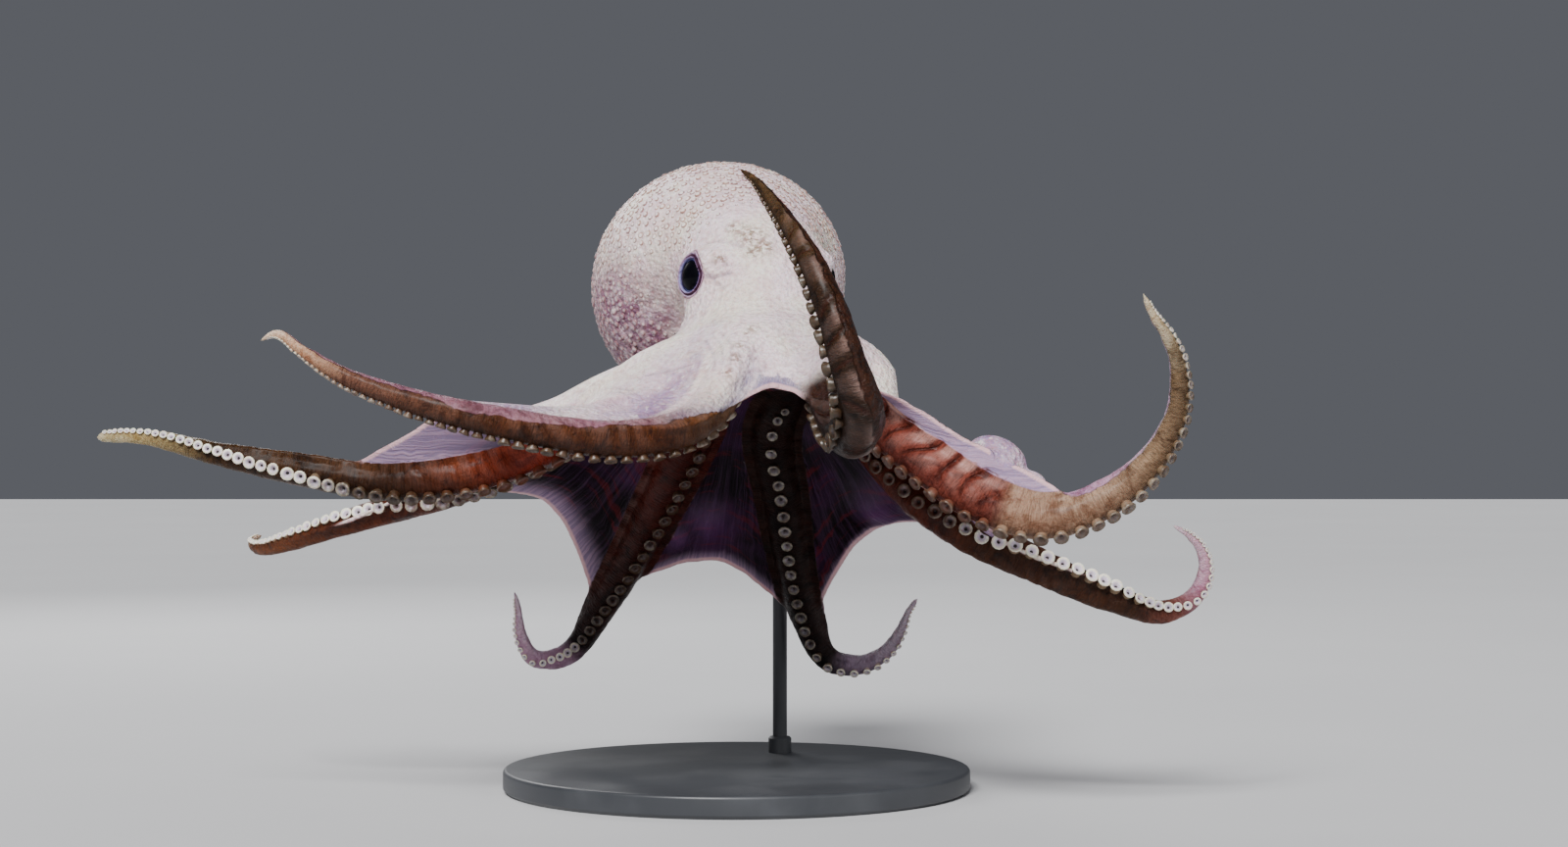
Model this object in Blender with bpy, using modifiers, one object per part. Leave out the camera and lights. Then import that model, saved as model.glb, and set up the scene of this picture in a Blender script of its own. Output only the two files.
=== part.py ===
"""A still, life-size model of a drifting deep-sea octopus, held on a plain display stand.

The frame: metres, +Z up, the origin at the centre of the stand base's underside.
The animal's back (the dorsal web and the eyes) faces -Y, its mantle trails towards +Y.
"Right" and "left" are the animal's own, so arm r1 reaches towards -X.
Lengths below are in millimetres and are turned to metres by MM where a mesh is made.
"""
import math

import bmesh
import bpy
import numpy as np

MM = 0.001

# ---------------------------------------------------------------- driving dimensions

GAP = 0.4                    # clearance between neighbouring solids
CROWN_CENTRE = np.array([16.8, -75.0, 219.5])   # where the eight arms meet
CROWN_TILT = math.radians(11.5)                 # the crown leans back towards +Y
CROWN_RADIUS = 50.0          # the arms leave the crown at this distance from its axis
ARM_ROOT_RISE = 8.0          # arm centres above the crown plane, where they leave it
CROWN_ARM_RADIUS = 12.5      # the arms' mean thickness at the crown
CROWN_GROOVE = 1.0           # underside of the crown's rim between two arms
CROWN_SIDES = 40
CROWN_START = 12.0           # bearing of the crown's first side, under arm r1
# The crown's underside from the mouth to the rim: radius, and how deeply it is lobed.
CROWN_UNDERSIDE = ((7.0, 0.0), (22.0, 0.12), (37.0, 0.6), (CROWN_RADIUS, 1.0))
CROWN_SHOULDER = 1.0         # the rim's upper edge is this far under the arms' backs
CROWN_COLLAR = (49.5, 19.5)  # radius and height of the ring between the rim and the neck
ARM_LEAD_IN = 25.0           # each arm's curve starts this far inside the crown's rim
ARM_SETTLE = 0.08            # share of an arm's length over which it leaves the crown square
TIP_RADIUS = 1.5
TAPER_POWER = 2.4            # an arm stays stout for half its length, then narrows
ARM_SIDES = 10
ARM_RINGS = 26
ARM_CUTS = (0.0, 9.0 / 25.0, 17.0 / 25.0, 1.0)     # base, middle and tip lengths
LENGTH_NAMES = ("base", "middle", "tip")

ARM_HALF_WIDTH = 0.85        # an arm's section, as shares of its radius
ARM_ABORAL = 0.75
ARM_ORAL = 1.15              # the row of suckers is part of this

WEB_THICKNESS = 1.6
WEB_GAP = 1.0                # from the arm's flank to the web's edge
WEB_COLUMNS = 6
WEB_ROWS = 8
WEB_LIFT = 0.55              # the web joins the arm's flank this far towards its back
WEB_ROOT_MARGIN = 2.5        # degrees between an arm and the web's corner, at the crown

EYE_RADIUS = 12.0
EYE_SEGMENTS = 14
EYE_RINGS = 8
HEAD_YAW = math.radians(15.0)
HEAD_SIDES = 28
NECK_RADIUS = 47.0
NECK_RISE = 22.0             # of the neck joint above the crown plane
CROWN_TOP_RADIUS = NECK_RADIUS + 0.5
MANTLE_SIDES = 32

STAND_BASE_RADIUS = 125.0
STAND_BASE_HEIGHT = 12.0
STAND_BASE_EDGE = 3.0
STAND_ROD_RADIUS = 4.0
STAND_ROD_PLACE = (23.0, 69.0)
STAND_ROD_TOP = 240.0
STAND_BASE_SEGMENTS = 48
STAND_ROD_SEGMENTS = 24

# Each arm: its bearing round the crown in degrees from the front, the radius at its root,
# the points that its centre line passes after the crown, and the way its suckers face at
# even steps from root to tip.
ARMS = {
    "r1": dict(
        bearing=12, root=12.5,
        route=[(-9, -158, 205), (-26, -176, 193), (-58, -190, 189), (-103, -198, 196),
               (-150, -196, 207), (-185, -191, 220), (-206, -187, 233), (-218, -186, 240),
               (-223, -185, 235)],
        oral=[(0.25, 0.3, -0.9), (0.1, -0.25, -0.96), (0, -0.05, -1), (-0.3, -0.35, -0.9)]),
    "r2": dict(
        bearing=57, root=12.8, tip=3.0,
        route=[(-49, -105, 216), (-74, -110, 200), (-101, -114, 182), (-131, -116, 171),
               (-170, -114, 166), (-209, -110, 171), (-255, -104, 180), (-295, -100, 189),
               (-321, -96, 189)],
        oral=[(0.3, 0.1, -0.9), (0.05, -0.35, -0.93), (0.1, -0.7, -0.2), (0.1, -0.6, 0.8)]),
    "r3": dict(
        bearing=102, root=12.0,
        route=[(-56, -50, 210), (-97, -37, 185), (-140, -26, 164), (-182, -20, 151),
               (-212, -12, 142), (-238, 0, 133), (-258, 18, 128), (-267, 40, 131),
               (-265, 58, 134)],
        oral=[(0.3, -0.2, -0.9), (0.2, -0.5, -0.85), (0.1, -0.75, 0.5), (-0.6, -0.2, 0.75)]),
    "r4": dict(
        bearing=147, root=14.0,
        route=[(-24, -8, 188), (-40, 14, 157), (-58, 34, 123), (-77, 48, 92),
               (-95, 54, 68), (-113, 50, 66), (-120, 44, 80), (-121, 40, 95),
               (-123, 38, 104)],
        oral=[(0.45, -0.75, -0.5), (0.5, -0.82, -0.25), (0.25, -0.95, 0.1),
              (-0.9, -0.4, -0.1)]),
    "l4": dict(
        bearing=192, root=14.0,
        route=[(19, -6, 192), (24, 16, 160), (29, 36, 127), (37, 52, 91), (50, 58, 65),
               (71, 54, 63), (87, 48, 76), (93, 44, 91), (99, 42, 100)],
        oral=[(0, -0.9, -0.5), (-0.05, -0.95, -0.3), (-0.2, -0.8, -0.5), (0.9, -0.3, -0.3)]),
    "l3": dict(
        bearing=237, root=14.0,
        route=[(69, -36, 192), (91, -52, 163), (119, -62, 141), (156, -66, 123),
               (192, -64, 107), (222, -62, 99), (239, -64, 110), (241, -67, 127),
               (234, -70, 138), (224, -72, 144)],
        oral=[(-0.5, -0.6, -0.6), (-0.3, -0.8, 0.1), (0.2, -0.8, 0.55), (0.9, -0.45, 0)]),
    "l2": dict(
        bearing=282, root=14.0,
        route=[(74, -114, 199), (93, -132, 179), (121, -142, 158), (154, -146, 149),
               (187, -148, 162), (208, -150, 184), (217, -150, 209), (214, -150, 233),
               (204, -150, 249), (199, -155, 259)],
        oral=[(-0.3, -0.2, -0.9), (-0.4, -0.55, -0.75), (0.4, -0.5, -0.75),
              (0.9, -0.35, 0.25)]),
    "l1": dict(
        bearing=327, root=14.0,
        route=[(49, -154, 206), (57, -188, 190), (62, -216, 201), (55, -226, 224),
               (48, -224, 247), (37, -214, 273), (25, -200, 293), (11, -184, 312),
               (4, -180, 317)],
        oral=[(-0.5, 0.3, -0.8), (-0.9, 0.25, -0.3), (-0.93, 0.3, -0.1),
              (-0.9, 0.2, -0.3)]),
}
ARM_ORDER = ["r1", "r2", "r3", "r4", "l4", "l3", "l2", "l1"]

# Each web sector, named by the arm it follows round the crown: how far it reaches along
# that arm and the next, as shares of their lengths, how far it reaches midway as a share
# of that, how high it billows, as a share of its width, and its height at the crown.
WEBS = {
    "r1": dict(reach=(0.66, 0.60), middle=0.84, billow=0.22, rim=15.0),
    "r2": dict(reach=(0.56, 0.56), middle=0.84, billow=0.32, rim=15.0),
    "r3": dict(reach=(0.54, 0.64), middle=0.84, billow=0.15, rim=15.0),
    "r4": dict(reach=(0.56, 0.62), middle=0.80, billow=-0.03, rim=4.0),
    "l4": dict(reach=(0.62, 0.48), middle=0.86, billow=0.14, rim=15.0),
    "l3": dict(reach=(0.46, 0.44), middle=0.84, billow=0.30, rim=15.0),
    "l2": dict(reach=(0.44, 0.30), middle=0.80, billow=0.30, rim=15.0),
    "l1": dict(reach=(0.24, 0.26), middle=0.62, billow=0.04, rim=15.0),
}

# Head and mantle: centre, half-width and half-height of each section, from the crown up
# and then back to the blunt end of the mantle.
HEAD_SECTIONS = [
    ((15.0, -66.5, 252.5), 41.5, 38.0, 16.0),
    ((12.5, -60.0, 262.0), 39.0, 35.5, 29.0),
    ((9.5, -50.0, 270.0), 39.0, 37.5, 50.0),
    ((6.5, -37.0, 275.0), 42.5, 42.0, 70.0),
    ((3.0, -23.0, 276.5), 50.0, 48.5, 82.0),
]
MANTLE_SECTIONS = [
    ((2.9, -22.5, 276.5), 50.4, 48.9, 82.0),
    ((-0.5, -11.0, 277.0), 58.0, 55.0, 86.0),
    ((-4.5, 4.0, 275.0), 65.0, 61.0, 88.0),
    ((-9.0, 22.0, 272.0), 68.5, 65.5, 90.0),
    ((-13.5, 40.0, 269.5), 68.0, 66.0, 92.0),
    ((-17.5, 57.0, 267.5), 63.0, 62.0, 94.0),
    ((-21.0, 72.0, 266.0), 54.0, 53.0, 96.0),
    ((-23.5, 83.0, 265.0), 42.0, 41.0, 98.0),
    ((-25.0, 90.0, 264.0), 27.0, 26.0, 98.0),
    ((-26.0, 94.0, 263.5), 10.0, 10.0, 98.0),
]
EYES = {"eye_right": (-15.0, -70.0, 271.0), "eye_left": (40.0, -51.0, 271.0)}

# The funnel, under the head on the side away from the web's dorsal margin.
FUNNEL_PITCH = 135.0
FUNNEL_SIDES = 12
FUNNEL_SECTIONS = [
    ((6.0, -15.0, 220.0), 12.0, 3.4),
    ((7.0, -6.0, 212.5), 8.5, 4.2),
    ((8.0, 4.0, 204.5), 6.5, 4.8),
    ((8.5, 13.0, 197.5), 6.0, 5.2),
    ((9.0, 21.0, 191.5), 6.0, 5.2),
]

COLOURS = {
    "arm": ((0.42, 0.20, 0.14), 0.42),
    "web": ((0.55, 0.46, 0.58), 0.45),
    "crown": ((0.72, 0.58, 0.58), 0.45),
    "head": ((0.80, 0.70, 0.69), 0.42),
    "mantle": ((0.78, 0.66, 0.66), 0.42),
    "funnel": ((0.76, 0.62, 0.64), 0.42),
    "eye": ((0.015, 0.012, 0.02), 0.08),
    "stand": ((0.06, 0.06, 0.065), 0.5),
}

# ---------------------------------------------------------------- directions


def unit(vectors):
    vectors = np.asarray(vectors, float)
    return vectors / np.linalg.norm(vectors, axis=-1, keepdims=True)


CROWN_UP = np.array([0.0, math.sin(CROWN_TILT), math.cos(CROWN_TILT)])
CROWN_BACK = np.array([0.0, math.cos(CROWN_TILT), -math.sin(CROWN_TILT)])
CROWN_RIGHT = np.array([-1.0, 0.0, 0.0])


def outward(degrees):
    """The direction in the crown plane at a bearing, from the front towards the right."""
    angle = math.radians(degrees)
    return CROWN_RIGHT * math.sin(angle) - CROWN_BACK * math.cos(angle)


def on_crown(degrees, radius, height):
    return CROWN_CENTRE + outward(degrees) * radius + CROWN_UP * height


# ---------------------------------------------------------------- arm routes


def smooth_route(points, samples=260):
    """A centripetal curve through the points but for the two end ones, evenly spaced."""
    points = np.asarray(points, float)
    stretches = []
    for a, b, c, d in zip(points, points[1:], points[2:], points[3:]):
        knots = [0.0]
        for start, end in ((a, b), (b, c), (c, d)):
            knots.append(knots[-1] + np.linalg.norm(end - start) ** 0.5)
        t0, t1, t2, t3 = knots
        t = np.linspace(t1, t2, 30, endpoint=False)[:, None]
        ab = ((t1 - t) * a + (t - t0) * b) / (t1 - t0)
        bc = ((t2 - t) * b + (t - t1) * c) / (t2 - t1)
        cd = ((t3 - t) * c + (t - t2) * d) / (t3 - t2)
        abc = ((t2 - t) * ab + (t - t0) * bc) / (t2 - t0)
        bcd = ((t3 - t) * bc + (t - t1) * cd) / (t3 - t1)
        stretches.append(((t2 - t) * abc + (t - t1) * bcd) / (t2 - t1))
    curve = np.vstack(stretches + [points[-2:-1]])
    steps = np.linalg.norm(np.diff(curve, axis=0), axis=1)
    travelled = np.concatenate([[0.0], np.cumsum(steps)])
    even = np.linspace(0.0, travelled[-1], samples)
    columns = [np.interp(even, travelled, curve[:, axis]) for axis in range(3)]
    return np.stack(columns, axis=1), travelled[-1]


class Arm:
    """An arm's centre line, thickness and twist, read by the share of its length."""

    def __init__(self, bearing, root, route, oral, tip=TIP_RADIUS):
        self.bearing = bearing
        self.root = root
        self.tip = tip
        self.oral_keys = unit(oral)
        start = on_crown(bearing, CROWN_RADIUS + GAP, ARM_ROOT_RISE)
        lead_in = on_crown(bearing, CROWN_RADIUS - ARM_LEAD_IN, ARM_ROOT_RISE)
        lead_out = 2.0 * np.array(route[-1], float) - np.array(route[-2], float)
        self.curve, self.length = smooth_route([lead_in, start, *route, lead_out])

    def point(self, share):
        places = np.linspace(0.0, 1.0, len(self.curve))
        return np.array([np.interp(share, places, self.curve[:, axis]) for axis in range(3)])

    def radius(self, share):
        return self.tip + (self.root - self.tip) * (1.0 - share ** TAPER_POWER)

    def frame(self, share):
        """Centre, direction, sucker side and flank. The root stands square to the crown."""
        step = 0.006
        ahead = unit(self.point(min(share + step, 1.0)) - self.point(max(share - step, 0.0)))
        places = np.linspace(0.0, 1.0, len(self.oral_keys))
        oral = np.array([np.interp(share, places, self.oral_keys[:, axis])
                         for axis in range(3)])
        settle = min(share / ARM_SETTLE, 1.0)
        ahead = unit(settle * ahead + (1.0 - settle) * outward(self.bearing))
        oral = settle * oral - (1.0 - settle) * CROWN_UP
        oral = unit(oral - ahead * oral.dot(ahead))
        return self.point(share), ahead, oral, np.cross(ahead, oral)

    def ring(self, share):
        centre, _, oral, flank = self.frame(share)
        radius = self.radius(share)
        ring = []
        for side in range(ARM_SIDES):
            angle = 2.0 * math.pi * side / ARM_SIDES
            depth = ARM_ORAL if math.cos(angle) > 0.0 else ARM_ABORAL
            ring.append(centre + oral * radius * depth * math.cos(angle)
                        + flank * radius * ARM_HALF_WIDTH * math.sin(angle))
        return ring

    def web_edge(self, share, neighbour):
        """Where a web that comes from the neighbour meets this arm's flank."""
        centre, ahead, oral, flank = self.frame(share)
        towards = neighbour.point(share) - centre
        towards = unit(towards - ahead * towards.dot(ahead))
        way = unit(towards - WEB_LIFT * oral)
        across = way.dot(flank) / ARM_HALF_WIDTH
        depth = ARM_ORAL if way.dot(oral) > 0.0 else ARM_ABORAL
        reach = self.radius(share) / math.hypot(across, way.dot(oral) / depth)
        return centre + way * (reach + WEB_GAP)


# ---------------------------------------------------------------- making meshes


def finish_object(name, mesh, finish, collection, smooth_angle=math.radians(40)):
    mesh.shade_smooth()
    mesh.set_sharp_from_angle(angle=smooth_angle)
    made = bpy.data.objects.new(name, mesh)
    colour, roughness = COLOURS[finish]
    material = bpy.data.materials.new(name + "_finish")
    material.use_nodes = True
    shader = material.node_tree.nodes["Principled BSDF"]
    shader.inputs["Base Color"].default_value = (*colour, 1.0)
    shader.inputs["Roughness"].default_value = roughness
    shader.inputs["Metallic"].default_value = 0.0
    material.diffuse_color = (*colour, 1.0)
    mesh.materials.append(material)
    collection.objects.link(made)
    return made


def mesh_from(shape, name):
    bmesh.ops.recalc_face_normals(shape, faces=shape.faces[:])
    mesh = bpy.data.meshes.new(name)
    shape.to_mesh(mesh)
    shape.free()
    return mesh


def loft(name, rings, finish, collection):
    """A closed skin over rings of equal count, with a flat cap at both ends."""
    shape = bmesh.new()
    rows = [[shape.verts.new(np.asarray(point) * MM) for point in ring] for ring in rings]
    for row, above in zip(rows, rows[1:]):
        for side in range(len(row)):
            beside = (side + 1) % len(row)
            shape.faces.new((row[side], row[beside], above[beside], above[side]))
    shape.faces.new(reversed(rows[0]))
    shape.faces.new(rows[-1])
    return finish_object(name, mesh_from(shape, name), finish, collection)


def make_arms(arms, collection):
    for arm_name, arm in arms.items():
        trim = 0.5 * GAP / arm.length
        for length_name, start, end in zip(LENGTH_NAMES, ARM_CUTS, ARM_CUTS[1:]):
            steps = round((end - start) * (ARM_RINGS - 1))
            shares = np.linspace(start, end, steps + 1)
            shares[0] += trim if start > 0.0 else 0.0
            shares[-1] -= trim if end < 1.0 else 0.0
            rings = [arm.ring(share) for share in shares]
            loft("_".join(("arm", arm_name, length_name)), rings, "arm", collection)


def make_web(name, arm, beside, reach, middle, billow, rim, collection):
    """A billowing sheet between two arms, from the crown's rim to an arched margin."""
    shape = bmesh.new()
    bmesh.ops.create_grid(shape, x_segments=WEB_COLUMNS, y_segments=WEB_ROWS, size=1.0)
    beside_bearing = arm.bearing + (beside.bearing - arm.bearing) % 360.0
    half_root = math.degrees(ARM_HALF_WIDTH * arm.root / CROWN_RADIUS) + WEB_ROOT_MARGIN

    for corner in shape.verts:
        across = 0.5 * (corner.co.x + 1.0)
        along = 0.5 * (corner.co.y + 1.0)
        arch = math.sin(math.pi * across)
        share = along * (1.0 - (1.0 - middle) * arch)
        from_arm = arm.web_edge(share * reach[0], beside)
        from_beside = beside.web_edge(share * reach[1], arm)
        chord = from_arm * (1.0 - across) + from_beside * across
        degrees = (arm.bearing + half_root) * (1.0 - across)
        degrees += (beside_bearing - half_root) * across
        root_chord = (arm.web_edge(0.0, beside) * (1.0 - across)
                      + beside.web_edge(0.0, arm) * across)
        at_crown = on_crown(degrees, CROWN_RADIUS + WEB_GAP, rim)
        near_crown = (1.0 - along) ** 2
        lift = billow * np.linalg.norm(from_arm - from_beside)
        lift *= math.sin(math.pi * across) * math.sin(0.5 * math.pi * along) ** 0.5
        corner.co = (chord + (at_crown - root_chord) * near_crown + CROWN_UP * lift) * MM

    web = finish_object(name, mesh_from(shape, name), "web", collection)
    thicken = web.modifiers.new("thickness", "SOLIDIFY")
    thicken.thickness = WEB_THICKNESS * MM
    thicken.offset = 0.0
    thicken.use_even_offset = True
    return web


def make_crown(arms, collection):
    """The ring of muscle that carries the arms, from the mouth to the head's underside."""
    bearings = [arm.bearing for arm in arms.values()]
    half_sector = 180.0 / len(bearings)
    turns = [CROWN_START + 360.0 * side / CROWN_SIDES for side in range(CROWN_SIDES)]

    def lobe(degrees):
        """1 on an arm's bearing, 0 midway between two arms."""
        apart = min(abs((degrees - bearing + 180.0) % 360.0 - 180.0) for bearing in bearings)
        return 0.5 + 0.5 * math.cos(math.pi * min(apart / half_sector, 1.0))

    rows = []
    for radius, share in CROWN_UNDERSIDE:
        ring = []
        for degrees in turns:
            on_arm = ARM_ROOT_RISE - ARM_ORAL * CROWN_ARM_RADIUS
            between = (1.0 - share) * on_arm + share * CROWN_GROOVE
            height = lobe(degrees) * on_arm + (1.0 - lobe(degrees)) * between
            ring.append(on_crown(degrees, radius, height))
        rows.append(ring)
    shoulder = ARM_ROOT_RISE + ARM_ABORAL * CROWN_ARM_RADIUS - CROWN_SHOULDER
    upper_rings = ((CROWN_RADIUS, shoulder), CROWN_COLLAR, (CROWN_TOP_RADIUS, NECK_RISE))
    for radius, height in upper_rings:
        rows.append([on_crown(degrees, radius, height) for degrees in turns])
    return loft("crown", rows, "crown", collection)


def body_ring(centre, half_width, half_height, pitch, sides):
    """A section of the head or mantle, turned from level (0) to upright (90)."""
    angle = math.radians(pitch)
    level = np.array([math.sin(HEAD_YAW), -math.cos(HEAD_YAW), 0.0])
    across = np.array([-math.cos(HEAD_YAW), -math.sin(HEAD_YAW), 0.0])
    steep = level * math.cos(angle) + np.array([0.0, 0.0, 1.0]) * math.sin(angle)
    return [np.array(centre) + across * half_width * math.sin(turn)
            + steep * half_height * math.cos(turn)
            for turn in (2.0 * math.pi * side / sides for side in range(sides))]


def make_head_and_mantle(collection):
    neck = [on_crown(360.0 * side / HEAD_SIDES - math.degrees(HEAD_YAW), NECK_RADIUS,
                     NECK_RISE + GAP) for side in range(HEAD_SIDES)]
    head_rings = [neck] + [body_ring(*section, HEAD_SIDES) for section in HEAD_SECTIONS]
    head = loft("head", head_rings, "head", collection)
    mantle_rings = [body_ring(*section, MANTLE_SIDES) for section in MANTLE_SECTIONS]
    mantle = loft("mantle", mantle_rings, "mantle", collection)
    return head, mantle


def make_eye(name, centre, collection):
    shape = bmesh.new()
    bmesh.ops.create_uvsphere(shape, u_segments=EYE_SEGMENTS, v_segments=EYE_RINGS,
                              radius=EYE_RADIUS * MM)
    bmesh.ops.translate(shape, verts=shape.verts[:], vec=[value * MM for value in centre])
    return finish_object(name, mesh_from(shape, name), "eye", collection)


def make_funnel(collection):
    rings = [body_ring(centre, half_width, half_height, FUNNEL_PITCH, FUNNEL_SIDES)
             for centre, half_width, half_height in FUNNEL_SECTIONS]
    return loft("funnel", rings, "funnel", collection)


def cylinder(name, radius, bottom, top, place, segments):
    shape = bmesh.new()
    bmesh.ops.create_cone(shape, cap_ends=True, segments=segments, radius1=radius * MM,
                          radius2=radius * MM, depth=(top - bottom) * MM)
    middle = (place[0] * MM, place[1] * MM, 0.5 * (top + bottom) * MM)
    bmesh.ops.translate(shape, verts=shape.verts[:], vec=middle)
    return mesh_from(shape, name)


def make_stand(collection):
    base = finish_object("stand_base", cylinder("stand_base", STAND_BASE_RADIUS, 0.0,
                                                STAND_BASE_HEIGHT, (0.0, 0.0),
                                                STAND_BASE_SEGMENTS),
                         "stand", collection)
    edge = base.modifiers.new("rounded_edge", "BEVEL")
    edge.width = STAND_BASE_EDGE * MM
    edge.segments = 2
    edge.limit_method = "ANGLE"
    finish_object("stand_rod", cylinder("stand_rod", STAND_ROD_RADIUS,
                                        STAND_BASE_HEIGHT + GAP, STAND_ROD_TOP,
                                        STAND_ROD_PLACE, STAND_ROD_SEGMENTS),
                  "stand", collection)


def cut_away(target, cutter_name, mesh, guides):
    """Takes a cutter out of a solid, and keeps the cutter among the guides."""
    cutter = bpy.data.objects.new(cutter_name, mesh)
    cutter.hide_render = True
    cutter.display_type = "WIRE"
    guides.objects.link(cutter)
    cut = target.modifiers.new(cutter_name, "BOOLEAN")
    cut.operation = "DIFFERENCE"
    cut.object = cutter


def ball(name, centre, radius):
    shape = bmesh.new()
    bmesh.ops.create_uvsphere(shape, u_segments=EYE_SEGMENTS, v_segments=EYE_RINGS,
                              radius=radius * MM)
    bmesh.ops.translate(shape, verts=shape.verts[:], vec=[value * MM for value in centre])
    return mesh_from(shape, name)


def main():
    for old in list(bpy.data.objects):
        bpy.data.objects.remove(old, do_unlink=True)
    model = bpy.data.collections.new("octopus")
    guides = bpy.data.collections.new("cutters")
    for collection in (model, guides):
        bpy.context.scene.collection.children.link(collection)

    arms = {name: Arm(**ARMS[name]) for name in ARM_ORDER}
    make_arms(arms, model)
    for index, name in enumerate(ARM_ORDER):
        beside = ARM_ORDER[(index + 1) % len(ARM_ORDER)]
        make_web("_".join(("web", name, beside)), arms[name], arms[beside],
                 **WEBS[name], collection=model)
    make_crown(arms, model)
    head, mantle = make_head_and_mantle(model)
    for name, centre in EYES.items():
        make_eye(name, centre, model)
        socket = ball(name + "_socket", centre, EYE_RADIUS + GAP)
        cut_away(head, name + "_socket", socket, guides)
    make_funnel(model)
    make_stand(model)
    socket = cylinder("rod_socket", STAND_ROD_RADIUS + GAP, 0.0, STAND_ROD_TOP + GAP,
                      STAND_ROD_PLACE, STAND_ROD_SEGMENTS)
    cut_away(mantle, "rod_socket", socket, guides)


main()
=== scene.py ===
# %% [markdown]
# # A drifting deep-sea octopus on its stand
#
# This notebook dresses a still, life-size model of a warty octopus. The solids that carry
# its sizes come first, as a fixed frame. Over them goes one unbroken skin, and on the skin
# go the suckers, the warts and the eyes, each as real mesh. Materials come after the
# shapes, then the floor, the lights and the camera.

# %% Load the frame
import math

import bmesh
import bpy
import numpy as np
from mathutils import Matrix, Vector
from mathutils.kdtree import KDTree


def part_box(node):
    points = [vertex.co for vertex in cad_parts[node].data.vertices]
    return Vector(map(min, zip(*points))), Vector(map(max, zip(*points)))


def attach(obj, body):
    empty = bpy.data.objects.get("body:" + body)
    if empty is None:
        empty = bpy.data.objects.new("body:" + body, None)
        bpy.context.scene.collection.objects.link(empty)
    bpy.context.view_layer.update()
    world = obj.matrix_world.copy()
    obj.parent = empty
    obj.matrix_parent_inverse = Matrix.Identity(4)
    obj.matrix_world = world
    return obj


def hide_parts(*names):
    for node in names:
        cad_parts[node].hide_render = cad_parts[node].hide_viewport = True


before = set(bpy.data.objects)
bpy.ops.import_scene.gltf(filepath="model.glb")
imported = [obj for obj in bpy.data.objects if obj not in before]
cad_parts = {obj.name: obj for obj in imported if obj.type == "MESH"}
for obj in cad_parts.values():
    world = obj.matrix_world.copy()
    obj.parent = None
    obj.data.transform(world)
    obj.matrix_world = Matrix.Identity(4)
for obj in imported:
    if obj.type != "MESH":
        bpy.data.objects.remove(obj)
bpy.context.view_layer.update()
MM = 0.001

# %% [markdown]
# ## Where each arm runs
#
# An arm of the frame is three lofted lengths, and each loft is a row of ten-sided rings.
# The lines of the arms could be typed in again here, but then they could drift away from
# the solids. Instead each loft is welded and walked from one ring to the next, since a
# ring's neighbours along the edges are the corners of the ring after it. In every ring the
# two corners furthest apart lie on the sucker side and the back, which gives the arm's
# middle, its thickness and its twist at that place.

# %% Walk the rings of a lofted solid
ARM_ORDER = ["r1", "r2", "r3", "r4", "l4", "l3", "l2", "l1"]
LENGTH_NAMES = ["base", "middle", "tip"]
RING_SIDES = 10
SUCKER_DEPTH = 1.15          # of a solid's ring, as a share of the arm's radius
BACK_DEPTH = 0.75
FLAT = math.radians(0.1)


def welded(node):
    shape = bmesh.new()
    shape.from_mesh(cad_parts[node].data)
    bmesh.ops.remove_doubles(shape, verts=shape.verts[:], dist=0.001 * MM)
    return shape


def walk_rings(shape, start):
    """The rings of a loft, in order from the flat cap that is nearer to start."""
    bmesh.ops.dissolve_limit(shape, angle_limit=FLAT, verts=shape.verts[:],
                             edges=shape.edges[:])
    shape.verts.index_update()
    caps = [face for face in shape.faces if len(face.verts) == RING_SIDES]
    first = min(caps, key=lambda face: (face.calc_center_median() - start).length)
    ring = list(first.verts)
    seen = set(ring)
    rings = []
    while ring:
        rings.append(np.array([corner.co for corner in ring]))
        beyond = {edge.other_vert(corner) for corner in ring for edge in corner.link_edges}
        ring = sorted(beyond - seen, key=lambda corner: corner.index)
        seen.update(ring)
    return rings


def read_ring(ring):
    """Middle, radius and sucker side of one ring."""
    apart = np.linalg.norm(ring[:, None] - ring[None], axis=2)
    one, other = np.unravel_index(apart.argmax(), apart.shape)
    mean = ring.mean(axis=0)
    if np.linalg.norm(ring[one] - mean) < np.linalg.norm(ring[other] - mean):
        one, other = other, one
    across = ring[one] - ring[other]
    depth = SUCKER_DEPTH + BACK_DEPTH
    middle = ring[other] + across * BACK_DEPTH / depth
    return middle, apart.max() / depth, across / apart.max()


crown_low, crown_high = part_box("crown")
arm_rings = {}
for arm_name in ARM_ORDER:
    near = (crown_low + crown_high) * 0.5
    found = []
    for length_name in LENGTH_NAMES:
        loft = welded("_".join(("arm", arm_name, length_name)))
        rings = [read_ring(ring) for ring in walk_rings(loft, near)]
        loft.free()
        found += rings if length_name == "base" else rings[1:]
        near = Vector(rings[-1][0])
    arm_rings[arm_name] = found
print("rings:", {name: len(found) for name, found in arm_rings.items()})

# %% [markdown]
# ## A smooth arm to ask questions of
#
# The rings are about 14 mm apart, too coarse for skin. A curve through them, cut into fine
# even steps, can be asked for its middle, direction, twist and thickness at any share of
# the arm's length. Asking for many shares at once keeps the later steps quick.

# %% The arms as smooth lines
LINE_STEPS = 440
CURVE_STEPS = 12
MOUTH_RUN = [(38.0, 0.42), (26.0, 0.72), (13.0, 0.92)]    # mm inwards, and share of thickness


def unit(vectors):
    return vectors / np.linalg.norm(vectors, axis=-1, keepdims=True)


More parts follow.
